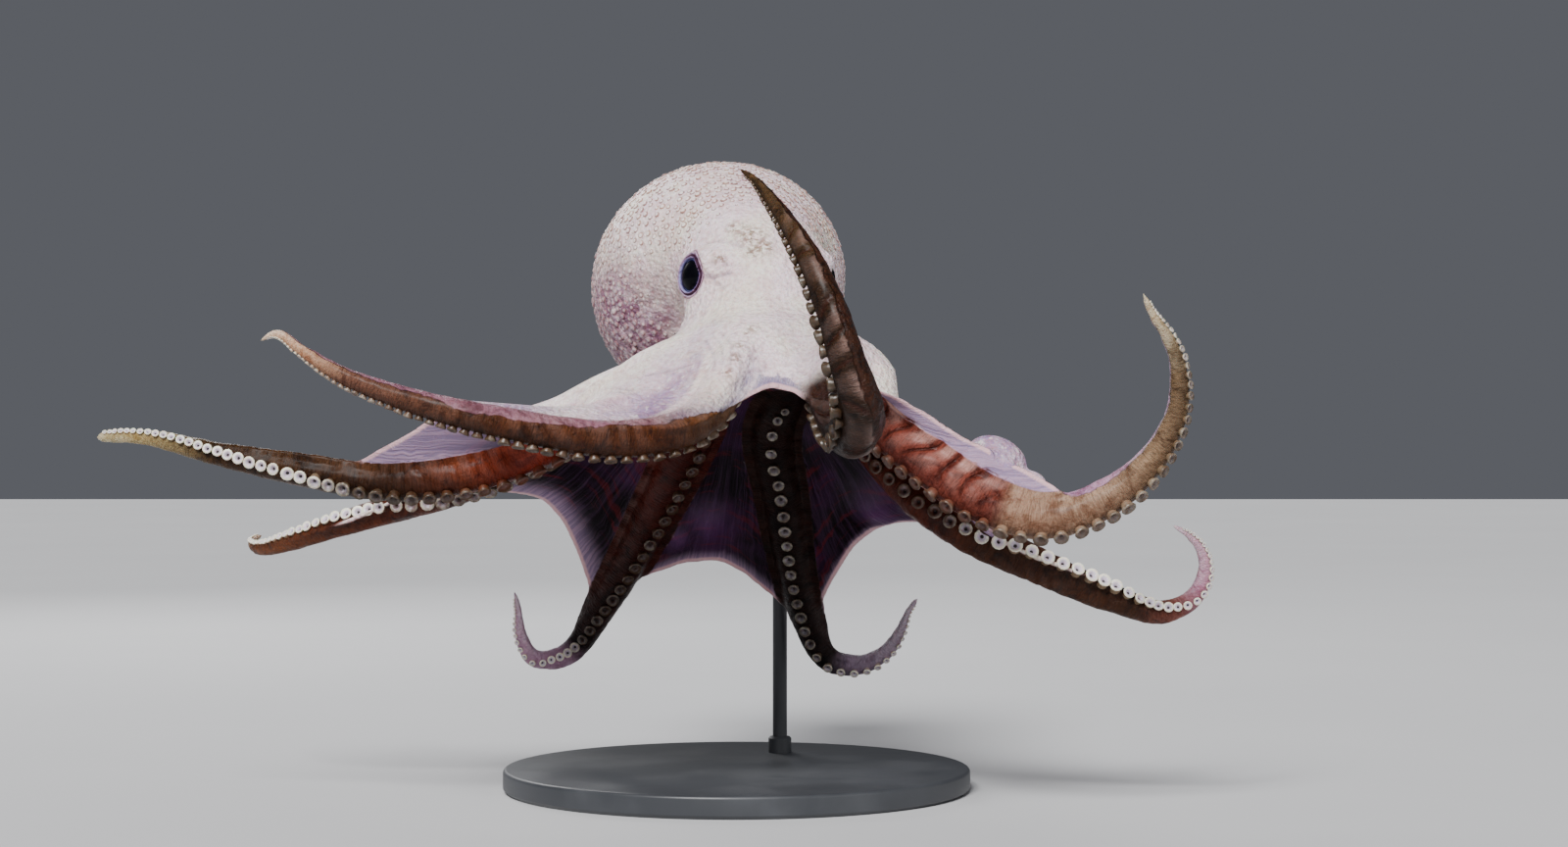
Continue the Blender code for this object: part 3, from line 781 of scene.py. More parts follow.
def zones(points, normals):
    """What the skin is at each point, as named rows of numbers."""
    arm_row = arm_rows[nearest(arm_tree, points)[0]]
    offset = points - arm_row[:, PLACE]
    ahead = dots(offset, arm_row[:, AHEAD])
    run = arm_row[:, RUN] + ahead
    offset = offset - arm_row[:, AHEAD] * ahead[:, None]
    toward = dots(offset, arm_row[:, ORAL]) / arm_row[:, RADIUS]
    beside = dots(offset, arm_row[:, FLANK]) / arm_row[:, RADIUS]
    on_arm = ramp(np.hypot(toward, beside), *ARM_SKIN)
    found, gap = nearest(web_tree, points)
    web_row = web_rows[found]
    off_web = points - web_row[:, PLACE]
    on_web = ramp(gap, *WEB_SKIN) * (1.0 - on_arm)
    under = ramp(dots(normals, web_row[:, OUT_OF_WEB]), 0.15, -0.15)
    below = np.clip(-dots(off_web, web_row[:, OUT_OF_WEB]) / (8.0 * MM), -1.0, 1.0)
    across = web_row[:, ACROSS] + dots(off_web, web_row[:, PER_ACROSS])
    along = web_row[:, ALONG] + dots(off_web, web_row[:, PER_ALONG])
    near_web = np.where(web_row[:, ALONG] > 0.985, ramp(gap, 6.0 * MM, 2.5 * MM),
                        ramp(gap, 14.0 * MM, 8.0 * MM))
    border = (toward + BORDER) * (1.0 - near_web) + below * near_web
    from_crown = points - crown_middle
    away, height = np.linalg.norm(from_crown, axis=1), from_crown @ crown_up
    mouth = (ramp(away, *MOUTH_SKIN) * ramp(height, 2.0 * MM, -2.0 * MM) * (1.0 - on_arm)
             * ramp(normals @ crown_up, 0.1, -0.3))
    root = ramp(away, *ROOT_SKIN)
    above = ramp(normals @ crown_up, -0.10, 0.30) * ramp(height, -4.0 * MM, 4.0 * MM)
    border = border * (1.0 - root * above) - root * above
    to_margin = nearest(margin_tree, points)[1]
    hem = (on_arm * (web_row[:, SECTOR] == FRONT_SECTOR) * ramp(border, -0.62, -0.40)
           * ramp(arm_row[:, SHARE], 0.04, 0.12) * ramp(arm_row[:, SHARE], 0.42, 0.34)
           * (arm_row[:, ARM_NUMBER] == HEM_ARM))
    pad = (under * np.maximum(on_web, on_arm * ramp(along, 1.1, 1.0) * (below < 0.0))
           * (web_row[:, SECTOR] == padded_number)
           * ramp(to_margin, *PADDED_MARGIN) * ramp(along, 0.30, 0.42) * ramp(across, 0.75, 0.55))
    on_pad = np.flatnonzero(pad > 0.02)
    if len(on_pad):
        arm_row[on_pad] = padded_rows[nearest(padded_tree, points[on_pad])[0]]
        run[on_pad] = arm_row[on_pad, RUN]
    for centre, stretch, radius in blister_balls:
        offset = points - centre
        offset = offset - np.outer(offset @ stretch, stretch) * (1.0 - 1.0 / BLISTER_STRETCH)
        shell = ramp(np.abs(np.linalg.norm(offset, axis=1) - radius), 2.6 * MM, 1.2 * MM)
        on_web = np.maximum(on_web, shell)
        on_arm = on_arm * (1.0 - shell)
        under = under * (1.0 - shell)
        to_margin = np.where(shell > 0.5, 12.0 * MM, to_margin)
    ahead = points @ head_ahead
    flesh = np.maximum(on_arm, on_web)
    mantle = ramp(ahead, 24.0 * MM, 6.0 * MM) * ramp(points[:, 2], 0.205, 0.222)
    mantle *= 1.0 - ramp(arm_row[:, SHARE], -0.02, 0.02) * flesh
    return dict(toward=toward, beside=beside, on_arm=on_arm, on_web=on_web, border=border,
                inner=np.maximum(on_web * under, mouth), share=arm_row[:, SHARE], run=run,
                arm=arm_row[:, ARM_NUMBER].astype(int), sector=web_row[:, SECTOR].astype(int),
                across=across, along=along, pad=pad, hem=hem, to_margin=to_margin,
                mantle=mantle, ahead=ahead)


def read_normals(mesh):
    normals = np.empty(len(mesh.vertices) * 3)
    mesh.vertices.foreach_get("normal", normals)
    return normals.reshape(-1, 3)


skin.data.update()
normals = read_normals(skin.data)
zone = zones(points, normals)
print("corners on arms, web and mantle:",
      [int((zone[name] > 0.5).sum()) for name in ("on_arm", "on_web", "mantle")])

# %% [markdown]
# ## Creases and soft hills
#
# Living skin is never even. The arms' sides are crossed by creases where the muscle bunches,
# most of all on the arm that bends up to one side, and the mantle's edge shows as two folds
# beside the head. All of them are moves along the skin's normals. The hills are sums of waves
# in scattered directions, which is a quick smooth noise, always the same for one seed.

# %% Creases on the arms, the mantle's edge and the hills
ARM_CREASES = {              # depth and spacing in mm, and the share where they have faded
    "r1": (0.6, 13.0, 0.7), "r2": (0.6, 11.0, 0.6), "r3": (0.4, 12.0, 0.6),
    "r4": (0.4, 12.0, 0.7), "l4": (0.3, 12.0, 0.7), "l3": (0.5, 12.0, 0.7),
    "l2": (2.1, 15.5, 0.46), "l1": (1.1, 18.0, 0.9)}
MANTLE_FOLDS = [(-5.0, 1.7, 1.4), (-12.0, 1.1, 1.2)]    # place, depth and width in mm


def hills(points, size, seed, waves=14):
    """Smooth random hills of about this size."""
    random = np.random.default_rng(seed)
    ways = unit(random.normal(size=(waves, 3))) * 2.0 * math.pi / size
    ways *= random.uniform(0.6, 1.5, (waves, 1))
    phases = random.uniform(0.0, 2.0 * math.pi, waves)
    return np.sin(points @ ways.T + phases).sum(axis=1) * math.sqrt(2.0 / waves)


def creases(run, spacing):
    """1 on the bulges, falling to 0 in narrow valleys this far apart."""
    return np.abs(np.sin(math.pi * run / spacing)) ** 0.55


def bunching(points, zone):
    """How strongly the muscle bunches here, and a number that rises by 1 for each bulge."""
    depth, spacing, fade = by_arm(ARM_CREASES, zone["arm"]).T
    flank = (zone["on_arm"] * ramp(zone["border"], -0.1, 0.1)
             * ramp(zone["toward"], 0.72, 0.45))
    flank = np.maximum(flank, zone["pad"])
    strong = flank * ramp(zone["share"], 0.02, 0.07) * np.clip((fade - zone["share"]) / 0.12, 0, 1)
    wander = 3.2 * MM * hills(points, 40.0 * MM, 3) + 5.0 * MM * zone["toward"]
    return flank, strong * depth, (zone["run"] + wander) / (spacing * MM)


side, bunched, phase = bunching(points, zone)
move = bunched * (creases(phase, 1.0) - 0.8)
fine = creases(zone["run"] + 1.2 * MM * hills(points, 9.0 * MM, 4), 3.6 * MM) - 0.8
move += 0.13 * side * ramp(zone["share"], 0.98, 0.85) * fine
from_crown = np.linalg.norm(points - crown_middle, axis=1)
move -= 0.55 * zone["on_web"] * ramp(from_crown, 55.0 * MM, 95.0 * MM)
outer = 1.0 - zone["on_web"]
rough = 0.5 + 0.5 * (1.0 - zone["on_arm"]) * outer
move += outer * (0.10 * hills(points, 11.0 * MM, 5) + 0.12 * rough * hills(points, 4.5 * MM, 6))
low_side = zone["mantle"] * ramp(points[:, 2], 0.268, 0.248)
for place, fold_depth, width in MANTLE_FOLDS:
    off = zone["ahead"] - (place + 1.5 * hills(points, 30.0 * MM, 7)) * MM
    move -= low_side * fold_depth * np.exp(-(off / (width * MM)) ** 2)
points = points + normals * (move * MM)[:, None]
skin.data.vertices.foreach_set("co", points.ravel())
skin.data.update()
print("moved by up to", round(float(np.abs(move).max()), 2), "mm")

# %% [markdown]
# ## Folds that are drawn one by one
#
# Some folds are too particular for a formula: the hollow and the fine lines of the web beside
# the face, arcs below the face, and the swellings inside the web. Each is a short line, given
# as x and z, that a row of rays sets down on the skin from in front. The skin near the line
# then moves out or in by a soft step. A wide fold takes both faces of the web along with it,
# and a line of one point makes a round swelling.

# %% Folds and swellings, set down from in front
FACE_FRONT = -0.5            # the rays start at this y, well in front of the animal
FRONT_FOLDS = [              # height and width in mm, and the line's x and z in mm
    (5.0, 13.0, [(-63.0, 213.0), (-53.0, 220.0), (-43.0, 227.0)]),
    (-3.2, 7.0, [(-32.0, 215.5), (-50.0, 206.5)]),
    (-1.0, 0.9, [(-78.0, 211.8), (-62.0, 213.4), (-46.0, 212.3), (-33.0, 211.5)]),
    (1.1, 1.2, [(-66.0, 212.0), (-51.0, 208.8), (-40.0, 203.3)]),
    (-0.7, 0.9, [(-21.0, 221.5), (-33.0, 216.5), (-44.0, 214.0)]),
    (-0.7, 0.9, [(-22.5, 218.0), (-34.5, 211.0), (-44.0, 208.5)]),
    (-0.6, 0.9, [(-25.0, 214.0), (-37.0, 206.5), (-46.5, 204.6)]),
    (-0.6, 0.9, [(-20.0, 225.0), (-30.0, 222.0), (-42.0, 219.5)]),
    (-0.6, 0.8, [(-9.5, 239.0), (-4.5, 233.0), (-4.7, 225.0)]),
    (-0.5, 0.8, [(-6.0, 241.0), (0.0, 234.5), (-0.8, 225.0)]),
    (-0.5, 0.8, [(-13.5, 237.0), (-9.0, 230.0), (-8.5, 222.0)]),
    (-0.5, 0.8, [(3.5, 231.0), (4.5, 222.0), (2.0, 214.0)]),
    (1.6, 8.0, [(-60.0, 206.5)]),
    (4.5, 10.0, [(-17.0, 144.0)]), (3.2, 6.5, [(-33.0, 134.0)]), (4.5, 11.0, [(75.0, 150.0)]),
    (3.0, 8.0, [(92.0, 153.0)])]
# Such a narrow valley, like the creases round the eyes, is painted darker as the shade in it.
NARROW = 2.0                 # a valley narrower than this, in mm, is a line of its own colour


def set_down(line):
    """Where rays from in front meet the skin along a line, and the way it faces there."""
    places, facing = [], []
    for (x, z), (next_x, next_z) in zip(line, line[1:] or line):
        steps = 1 + int(math.hypot(next_x - x, next_z - z))
        for t in np.linspace(0.0, 1.0, steps):
            start = ((x + (next_x - x) * t) * MM, FACE_FRONT, (z + (next_z - z) * t) * MM)
            hit, place, normal, _ = skin.ray_cast(start, (0.0, 1.0, 0.0))
            if hit:
                places.append(place)
                facing.append(normal)
    return np.array(places), unit(np.mean(facing, axis=0))


def folded(points, normals, folds):
    """How the folds shift each point, and how far it is in a valley or on a swelling."""
    shift = np.zeros(points.shape)
    valley, swelling = np.zeros((2, len(points)))
    for height, width, (places, facing) in folds:
        middle = places.mean(axis=0)
        reach = np.linalg.norm(places - middle, axis=1).max() + 3.0 * width * MM
        near = np.flatnonzero(np.linalg.norm(points - middle, axis=1) < reach)
        gap = np.linalg.norm(points[near][:, None] - places[None], axis=2).min(axis=1)
        here = np.exp(-(gap / (width * MM)) ** 2)
        way = facing if width > NARROW else normals[near]
        shift[near] += way * (height * MM * here)[:, None]
        if height < 0.0 and width < NARROW:
            valley[near] = np.maximum(valley[near], here)
        if len(places) == 1:
            swelling[near] = np.maximum(swelling[near], here)
    return shift, valley, swelling


bpy.context.view_layer.update()
front_folds = [(height, width, set_down(line)) for height, width, line in FRONT_FOLDS]
points = points + folded(points, read_normals(skin.data), front_folds)[0]
skin.data.vertices.foreach_set("co", points.ravel())
print("folds set down:", [len(places) for _, _, (places, _) in front_folds])

# %% [markdown]
# ## Fewer faces where the skin is plain
#
# The even small faces have done their work. Collapsing edges takes most of them away where
# the skin is nearly flat, such as inside a web, and keeps them on creases and rims.

# %% Thin out the faces
SKIN_TRIANGLES = 156000

count = sum(len(face.vertices) - 2 for face in skin.data.polygons)
thin_out = skin.modifiers.new("thin_out", "DECIMATE")
thin_out.ratio = SKIN_TRIANGLES / count
applied(skin)
print("triangles:", count, "before,", len(skin.data.polygons), "after")

# %% [markdown]
# ## Eyelids and the skin around the eyes
#
# An octopus eye sits deep in a soft round socket behind a ring of lid. The skin over each eye
# is divided finer, and its height above the eyeball is then set by a profile that runs from
# the middle of the pupil outwards: under the ball's surface, up over the lid's edge, down in
# a groove, over a second ridge, and into the skin of the head. A brow bulges above the eye,
# and creases run from its corners. Their places are given on the skin round the eye as steps
# to the front and upwards.

# %% Open the lids
EYE_PATCHES = [26.0, 16.0, 12.5]     # mm round the eye that get one more division each
LID_PROFILE = [              # distance from the eye's axis, and height above its middle, in mm
    (0.0, 9.4), (5.0, 8.6), (7.6, 7.0), (8.5, 7.3), (8.9, 8.2), (9.2, 9.4), (9.6, 10.2),
    (10.0, 10.2), (10.5, 9.5), (11.0, 9.0), (11.6, 9.5), (12.2, 9.6), (12.9, 8.9),
    (14.0, 7.6), (16.0, 4.5)]
LID_BLEND = (11.0, 15.5)
LID_TILT = math.radians(9.0)         # the opening leans back at the top
LID_SQUASH = 0.94                    # height over width of the opening
BROW_CUT = (0.80, 0.60, 7.2, 1.6)    # way to the front and up, where it cuts, and how steeply
BROWS = [                    # steps to the front and up, size and height, in mm
    (14.0, 8.0, 8.5, 4.2), (9.5, 7.5, 4.5, 1.6), (2.0, 13.0, 5.0, 1.2)]
LID_EDGE = 8.7               # mm from the eye's axis to the lid's edge
DEEPEST = 1.8                # the deepest of the creases below, in mm
AWAY = 40.0                  # stands for a distance in mm that is too far to matter
EYE_CREASES = [               # depth, width, and the line in mm to the front and up
    (1.8, 1.2, [(9.0, -2.5), (14.0, -1.0), (18.0, -1.8), (25.0, 1.0)]),
    (0.9, 0.9, [(17.0, -1.5), (21.0, -5.0), (28.0, -6.5)]),
    (0.9, 0.8, [(19.0, 1.5), (22.0, 4.5), (28.0, 5.5)]),
    (0.6, 0.7, [(14.0, 1.5), (17.0, 4.5), (22.0, 8.5)]),
    (1.0, 0.9, [(2.0, 15.5), (9.0, 18.0), (18.0, 17.5), (27.0, 13.0)]),
    (1.4, 1.2, [(-3.0, -11.0), (-6.0, -18.0), (-10.0, -24.0)]),
    (1.2, 1.0, [(1.0, -12.0), (-1.5, -19.0), (-5.0, -26.0)]),
    (1.0, 1.0, [(-7.0, -10.0), (-11.0, -16.0), (-16.0, -21.0)]),
    (1.2, 1.0, [(-8.0, 12.5), (-13.0, 7.0), (-14.5, 0.0), (-13.0, -8.0)])]


def near_line(front, up, line):
    """Distance in mm from a bent line drawn on the skin around an eye."""
    best = np.full(len(front), 1000.0)
    for (x, y), (next_x, next_y) in zip(line, line[1:]):
        step_x, step_y = next_x - x, next_y - y
        t = ((front - x) * step_x + (up - y) * step_y) / (step_x ** 2 + step_y ** 2)
        t = np.clip(t, 0.0, 1.0)
        best = np.minimum(best, np.hypot(front - x - t * step_x, up - y - t * step_y))
    return best


shape = bmesh.new()
shape.from_mesh(skin.data)
for reach in EYE_PATCHES:
    for eye in eyes:
        middle, axis = Vector(eye.middle), Vector(eye.axis)
        close = {corner for corner in shape.verts
                 if (corner.co - middle).length < reach * MM
                 and (corner.co - middle).dot(axis) > -2.0 * MM}
        cut = [edge for edge in shape.edges if edge.verts[0] in close and edge.verts[1] in close]
        bmesh.ops.subdivide_edges(shape, edges=cut, cuts=1, use_grid_fill=True)
bmesh.ops.triangulate(shape, faces=[face for face in shape.faces if len(face.verts) > 3])
shape.to_mesh(skin.data)
shape.free()

points = read_points(skin.data)
normals = read_normals(skin.data)
lid_ring = np.full(len(points), AWAY)
eye_crease_shade = np.zeros(len(points))
lid_heights = np.array(LID_PROFILE)
for eye in eyes:
    offset = (points - eye.middle) / MM
    front, up, out = offset @ eye.front, offset @ eye.up, offset @ eye.axis
    leaning = front * math.cos(LID_TILT) + up * math.sin(LID_TILT)
    tall = (up * math.cos(LID_TILT) - front * math.sin(LID_TILT)) / LID_SQUASH
    ring = np.hypot(leaning, tall)
    toward_brow = front * BROW_CUT[0] + up * BROW_CUT[1] - BROW_CUT[2]
    ring = np.maximum(ring, LID_EDGE + BROW_CUT[3] * toward_brow)
    near = (out > -9.0) & (np.hypot(front, up) < 36.0)
    lid_ring = np.where(near, np.minimum(lid_ring, ring), lid_ring)
    move = sum(height * np.exp(-((front - x) ** 2 + (up - y) ** 2) / size ** 2)
               for x, y, size, height in BROWS) * ramp(ring, 9.8, 12.0)
    for fold_depth, width, line in EYE_CREASES:
        here = np.exp(-(near_line(front, up, line) / width) ** 2) * ramp(ring, 9.8, 11.5)
        move = move - fold_depth * here
        eye_crease_shade = np.maximum(eye_crease_shade, here * near * fold_depth / DEEPEST)
    points = points + normals * (move * near * MM)[:, None]
    out = ((points - eye.middle) / MM) @ eye.axis
    height = np.interp(ring, *lid_heights.T)
    height = height + (out - height) * ramp(ring, *LID_BLEND)
    lid = near & (ring < LID_BLEND[1]) & (out > 0.0)
    points = points + np.outer((height - out) * lid * MM, eye.axis)
skin.data.vertices.foreach_set("co", points.ravel())
skin.data.update()
print("triangles with the lids:", len(skin.data.polygons))

# %% [markdown]
# ## What the skin remembers
#
# The zones are worked out once more for the final corners, and kept on the mesh as named
# attributes. Attributes are smoother than painted borders here: the material can set a sharp
# border anywhere along a number that rises evenly, even between two corners.

# %% Attributes of the skin
# The darkest browns are partly painted shade: those on r4 and l4 underneath and on the raised l1
# are darkened beyond their own flesh to how dark those arms lie in shadow.
FLESH_WITH_SHADE = {                    # share of the arm, and the colour of its sides there
    "r1": [(0.0, (140, 54, 26)), (0.10, (128, 60, 30)), (0.18, (112, 76, 44)),
           (0.30, (84, 42, 17)), (0.6, (72, 38, 19)), (0.82, (112, 74, 58)),
           (0.92, (200, 158, 128)), (1.0, (238, 214, 190))],
    "r2": [(0.0, (140, 38, 20)), (0.30, (146, 50, 26)), (0.40, (104, 46, 22)),
           (0.5, (70, 38, 19)), (0.8, (78, 50, 22)), (0.93, (180, 160, 116)),
           (1.0, (206, 196, 168))],
    "r3": [(0.0, (100, 38, 20)), (0.6, (98, 44, 20)), (0.88, (108, 62, 32)),
           (1.0, (216, 190, 162))],
    "r4": [(0.0, (90, 24, 14)), (0.5, (70, 24, 14)), (0.72, (42, 20, 16)),
           (0.77, (186, 148, 174)), (1.0, (230, 206, 220))],
    "l4": [(0.0, (42, 16, 8)), (0.6, (40, 16, 10)), (0.72, (38, 20, 17)),
           (0.77, (160, 140, 160)), (1.0, (208, 194, 204))],
    "l3": [(0.0, (112, 38, 20)), (0.32, (102, 40, 18)), (0.42, (80, 40, 16)),
           (0.72, (68, 36, 14)), (0.80, (140, 82, 70)), (0.86, (206, 162, 182)),
           (1.0, (232, 206, 216))],
    "l2": [(0.0, (116, 50, 38)), (0.3, (124, 60, 48)), (0.41, (114, 53, 40)),
           (0.43, (160, 126, 104)), (0.6, (152, 122, 100)), (0.7, (128, 102, 78)),
           (0.85, (98, 77, 55)), (1.0, (226, 210, 180))],
    "l1": [(0.0, (140, 56, 32)), (0.08, (58, 26, 12)), (0.4, (42, 22, 10)),
           (0.7, (50, 30, 15)), (1.0, (88, 64, 38))]}
# The dark backs of l1 and l4 are partly painted shade too.
BACKS = {                    # what the white back turns to further out
    "r1": (150, 116, 130), "r2": (186, 164, 188), "r3": (150, 104, 82), "r4": (196, 164, 186),
    "l4": (124, 94, 108), "l3": (184, 142, 154), "l2": (190, 168, 194), "l1": (58, 33, 19)}
BACK_FROM = {"l1": (0.12, 0.18)}   # share of the arm over which the back's colour comes
# The lavender is the web's own tint. The wide bands of r1 and r2, over the hollows beside the face,
# are also painted shade.
VEILS = {"r1": 78.0, "r2": 70.0, "l1": 7.0}   # width in mm of the lavender band outside a web's
#                                               margin, where it isn't the usual 60
STRIPS = {                   # width in mm of the pale band inside each web's margin
    "r1": 60.0, "r2": 16.0, "r3": 16.0, "r4": 8.0, "l4": 5.0, "l3": 30.0, "l2": 60.0, "l1": 6.0}
STAINS = [                   # brown spots on the face: x, z and size in mm
    (9.0, 291.0, 6.5), (15.0, 286.0, 5.0), (0.0, 296.0, 4.0), (10.0, 283.0, 4.0),
    (-7.0, 279.0, 3.0), (10.0, 243.0, 2.6), (7.0, 240.0, 2.0), (4.5, 234.0, 2.6),
    (1.5, 228.0, 3.0), (-2.0, 221.0, 3.0)]
MOST_BUNCHED = 2.1           # the deepest of the arms' creases, in mm
EVENING_ROUNDS = 8           # of relaxing, which evens the borders between the colours
MANTLE_MIDDLE = np.array([-9.0, 22.0, 272.0]) * MM


def tone(red, green, blue):
    """A colour given in a screen's steps of 0 to 255, as the linear light that shaders use."""
    steps = np.array([red, green, blue]) / 255.0
    linear = np.where(steps > 0.04045, ((steps + 0.055) / 1.055) ** 2.4, steps / 12.92)
    return (*(float(part) for part in linear), 1.0)


def flesh_and_shade_colours(arm_numbers, shares):
    colours = np.ones((len(shares), 4))
    for number, name in enumerate(ARM_ORDER):
        chosen = arm_numbers == number
        places = [place for place, _ in FLESH_WITH_SHADE[name]]
        stops = np.array([tone(*colour) for _, colour in FLESH_WITH_SHADE[name]])
        for channel in range(3):
            colours[chosen, channel] = np.interp(shares[chosen], places, stops[:, channel])
    return colours


def keep(mesh, name, values):
    """Stores one number, or one colour, for every corner of a mesh."""
    kind = "FLOAT_COLOR" if values.ndim == 2 else "FLOAT"
    field = "color" if values.ndim == 2 else "value"
    made = mesh.attributes.new(name, kind, "POINT")
    made.data.foreach_set(field, np.asarray(values, np.float32).ravel())


points = read_points(skin.data)
normals = read_normals(skin.data)
zone = zones(points, normals)
# This mask grows lower down, on one side of the head and on the cheek. It is painted shade, and the
# mantle's own reddish brown blotches gather in it too.
down = ramp(points[:, 2], 0.312, 0.240)
beside_head = (points - MANTLE_MIDDLE) @ head_right
flank = ramp(beside_head, -5.0 * MM, 48.0 * MM) + 0.35 * ramp(beside_head, -20.0 * MM, -60.0 * MM)
cheek = ramp(zone["ahead"], 66.0 * MM, 40.0 * MM) * ramp(beside_head, 30.0 * MM, 42.0 * MM)
cheek *= (1.0 - zone["on_web"]) * (1.0 - zone["on_arm"]) * ramp(points[:, 2], 0.236, 0.250)
zone["shade_and_blotches"] = np.maximum(zone["mantle"] * (0.2 * down + 0.8 * down * flank), 0.7 * down * cheek)
marks = ("border", "on_arm", "hem")
evened = relax(np.column_stack([zone[name] for name in marks]), read_edges(skin.data),
               EVENING_ROUNDS, 0.5)
for name, values in zip(marks, evened.T):
    zone[name] = values
strip_width = by_arm(STRIPS, zone["sector"]) * MM
zone["strip"] = 1.0 - np.clip(zone["to_margin"] / strip_width, 0.0, 1.0)
veil_width = by_arm(VEILS, zone["sector"], usual=60.0) * MM
zone["veil"] = ramp(zone["to_margin"], veil_width, 0.3 * veil_width)
back_from = by_arm(BACK_FROM, zone["arm"], usual=(0.12, 0.34))
zone["further"] = zone["on_arm"] * ramp(zone["share"], back_from[:, 0], back_from[:, 1])
bpy.context.view_layer.update()
stain = np.zeros(len(points))
for x, z, size in STAINS:
    gap = np.linalg.norm(points - set_down([(x, z)])[0][0], axis=1) / MM
    stain = np.maximum(stain, ramp(gap, 1.9 * size, 0.4 * size))
_, bunched, phase = bunching(points, zone)
_, valley, swelling = folded(points, normals, front_folds)
backs = {name: tone(*colour) for name, colour in BACKS.items()}
remembered = {name: zone[name] for name in (
    "toward", "beside", "on_arm", "on_web", "inner", "further", "across", "along", "shade_and_blotches", "border",
    "strip", "veil", "pad", "hem")}
remembered |= {"bunched": bunched / MOST_BUNCHED, "line": np.maximum(valley, eye_crease_shade),
               "swelling": swelling, "phase": phase, "run": zone["run"] / MM,
               "to_margin": zone["to_margin"] / MM, "lid": lid_ring, "stain": stain,
               "flesh": flesh_and_shade_colours(zone["arm"], zone["share"]),
               "back": by_arm(backs, zone["arm"])}
for name, values in remembered.items():
    keep(skin.data, name, values)
skin.data.shade_smooth()
print("attributes:", sorted(made.name for made in skin.data.attributes
                            if not made.name.startswith(".")))

# %% [markdown]
# ## Suckers
#
# This kind of octopus has one row of suckers on each arm. A sucker is a short stalk with a
# flared rim, a shallow disc and a deep hole, so it is a turned shape: a profile spun round
# its axis. The same few dozen faces serve every sucker. Each copy is set down on the skin by
# a ray from outside, and its size follows the arm's thickness, so that the row tapers.

# %% One sucker, spun from its profile
SUCKER_PROFILE = [           # radius and height, as shares of the sucker's radius
    (0.0, -0.5), (0.84, -0.5), (0.74, 0.18), (1.0, 0.62), (0.92, 0.86), (0.32, 0.44),
    (0.20, 0.06), (0.0, 0.04)]
SUCKER_SIDES = 12


def turned(profile, sides):
    """A closed turned shape, spun round from a profile of radii and heights."""
    shape = bmesh.new()
    line = [shape.verts.new((radius, 0.0, height)) for radius, height in profile]
    for corner, after in zip(line, line[1:]):
        shape.edges.new((corner, after))
    bmesh.ops.spin(shape, geom=shape.verts[:] + shape.edges[:], cent=(0.0, 0.0, 0.0),
                   axis=(0.0, 0.0, 1.0), angle=2.0 * math.pi, steps=sides, use_merge=True)
    bmesh.ops.remove_doubles(shape, verts=shape.verts[:], dist=0.0001)
    bmesh.ops.recalc_face_normals(shape, faces=shape.faces[:])
    return shape


def scattered(name, template, profile, places):
    """One mesh with a copy of the template at each 4 by 4 matrix of places."""
    template.verts.index_update()
    corners = np.array([corner.co for corner in template.verts])
    faces = [[corner.index for corner in face.verts] for face in template.faces]
    copies = np.einsum("nij,vj->nvi", places[:, :3, :3], corners) + places[:, None, :3, 3]
    every = [[number * len(corners) + corner for corner in face]
             for number in range(len(places)) for face in faces]
    mesh = bpy.data.meshes.new(name)
    mesh.from_pydata(copies.reshape(-1, 3), [], every)
    mesh.shade_smooth()
    outline = np.array(profile)
    flat = np.column_stack([np.hypot(corners[:, 0], corners[:, 1]), corners[:, 2]])
    steps = np.linalg.norm(flat[:, None] - outline[None], axis=2).argmin(axis=1)
    keep(mesh, "profile", np.tile(steps / (len(profile) - 1), len(places)))
    return placed(name, mesh)


def for_each_copy(values, made, copies):
    """Repeats one value per copy for all the corners of that copy."""
    return np.repeat(values, len(made.data.vertices) // copies, axis=0)


sucker = turned(SUCKER_PROFILE, SUCKER_SIDES)
print("faces in one sucker:", len(sucker.faces))

# %% Rows of suckers, set down on the skin
SUCKER_LARGEST = 7.6 * MM
SUCKER_SHARE = 0.75          # of the arm's radius, where the arm is thin
SUCKER_START, SUCKER_END = -0.02, 0.985
SUCKER_SPREAD = {             # how large an arm's suckers are, and how far apart, where not 1
    "r1": (0.84, 1.0), "r4": (0.92, 1.12), "l4": (0.88, 1.32)}
FIRST_SUCKER = {"l4": 0.045}  # an arm that starts its row further out
SUCKER_GAP = (1.27, 1.02)    # spacing over diameter, near the mouth and far out
SUCKER_JITTER = 0.09
SUCKER_PALE = {              # share of the arm, and how pale the suckers are there
    "r1": [(0.0, 0.25), (0.15, 0.35), (0.28, 0.0), (0.7, 0.05), (0.88, 0.3), (1.0, 0.8)],
    "r2": [(0.0, 0.0), (0.56, 0.04), (0.64, 0.70), (1.0, 0.8)],
    "r3": [(0.0, 0.1), (0.55, 0.3), (0.62, 0.95), (1.0, 1.0)],
    "r4": [(0.0, 0.0), (0.70, 0.05), (0.80, 0.85), (1.0, 1.0)],
    "l4": [(0.0, 0.28), (0.70, 0.20), (0.80, 0.85), (1.0, 0.9)],
    "l3": [(0.0, 0.0), (0.36, 0.06), (0.43, 0.90), (1.0, 1.0)],
    "l2": [(0.0, 0.0), (0.5, 0.06), (0.8, 0.15), (1.0, 0.7)],
    "l1": [(0.0, 0.35), (0.10, 0.55), (0.20, 0.05), (0.3, 0.0), (1.0, 0.0)]}

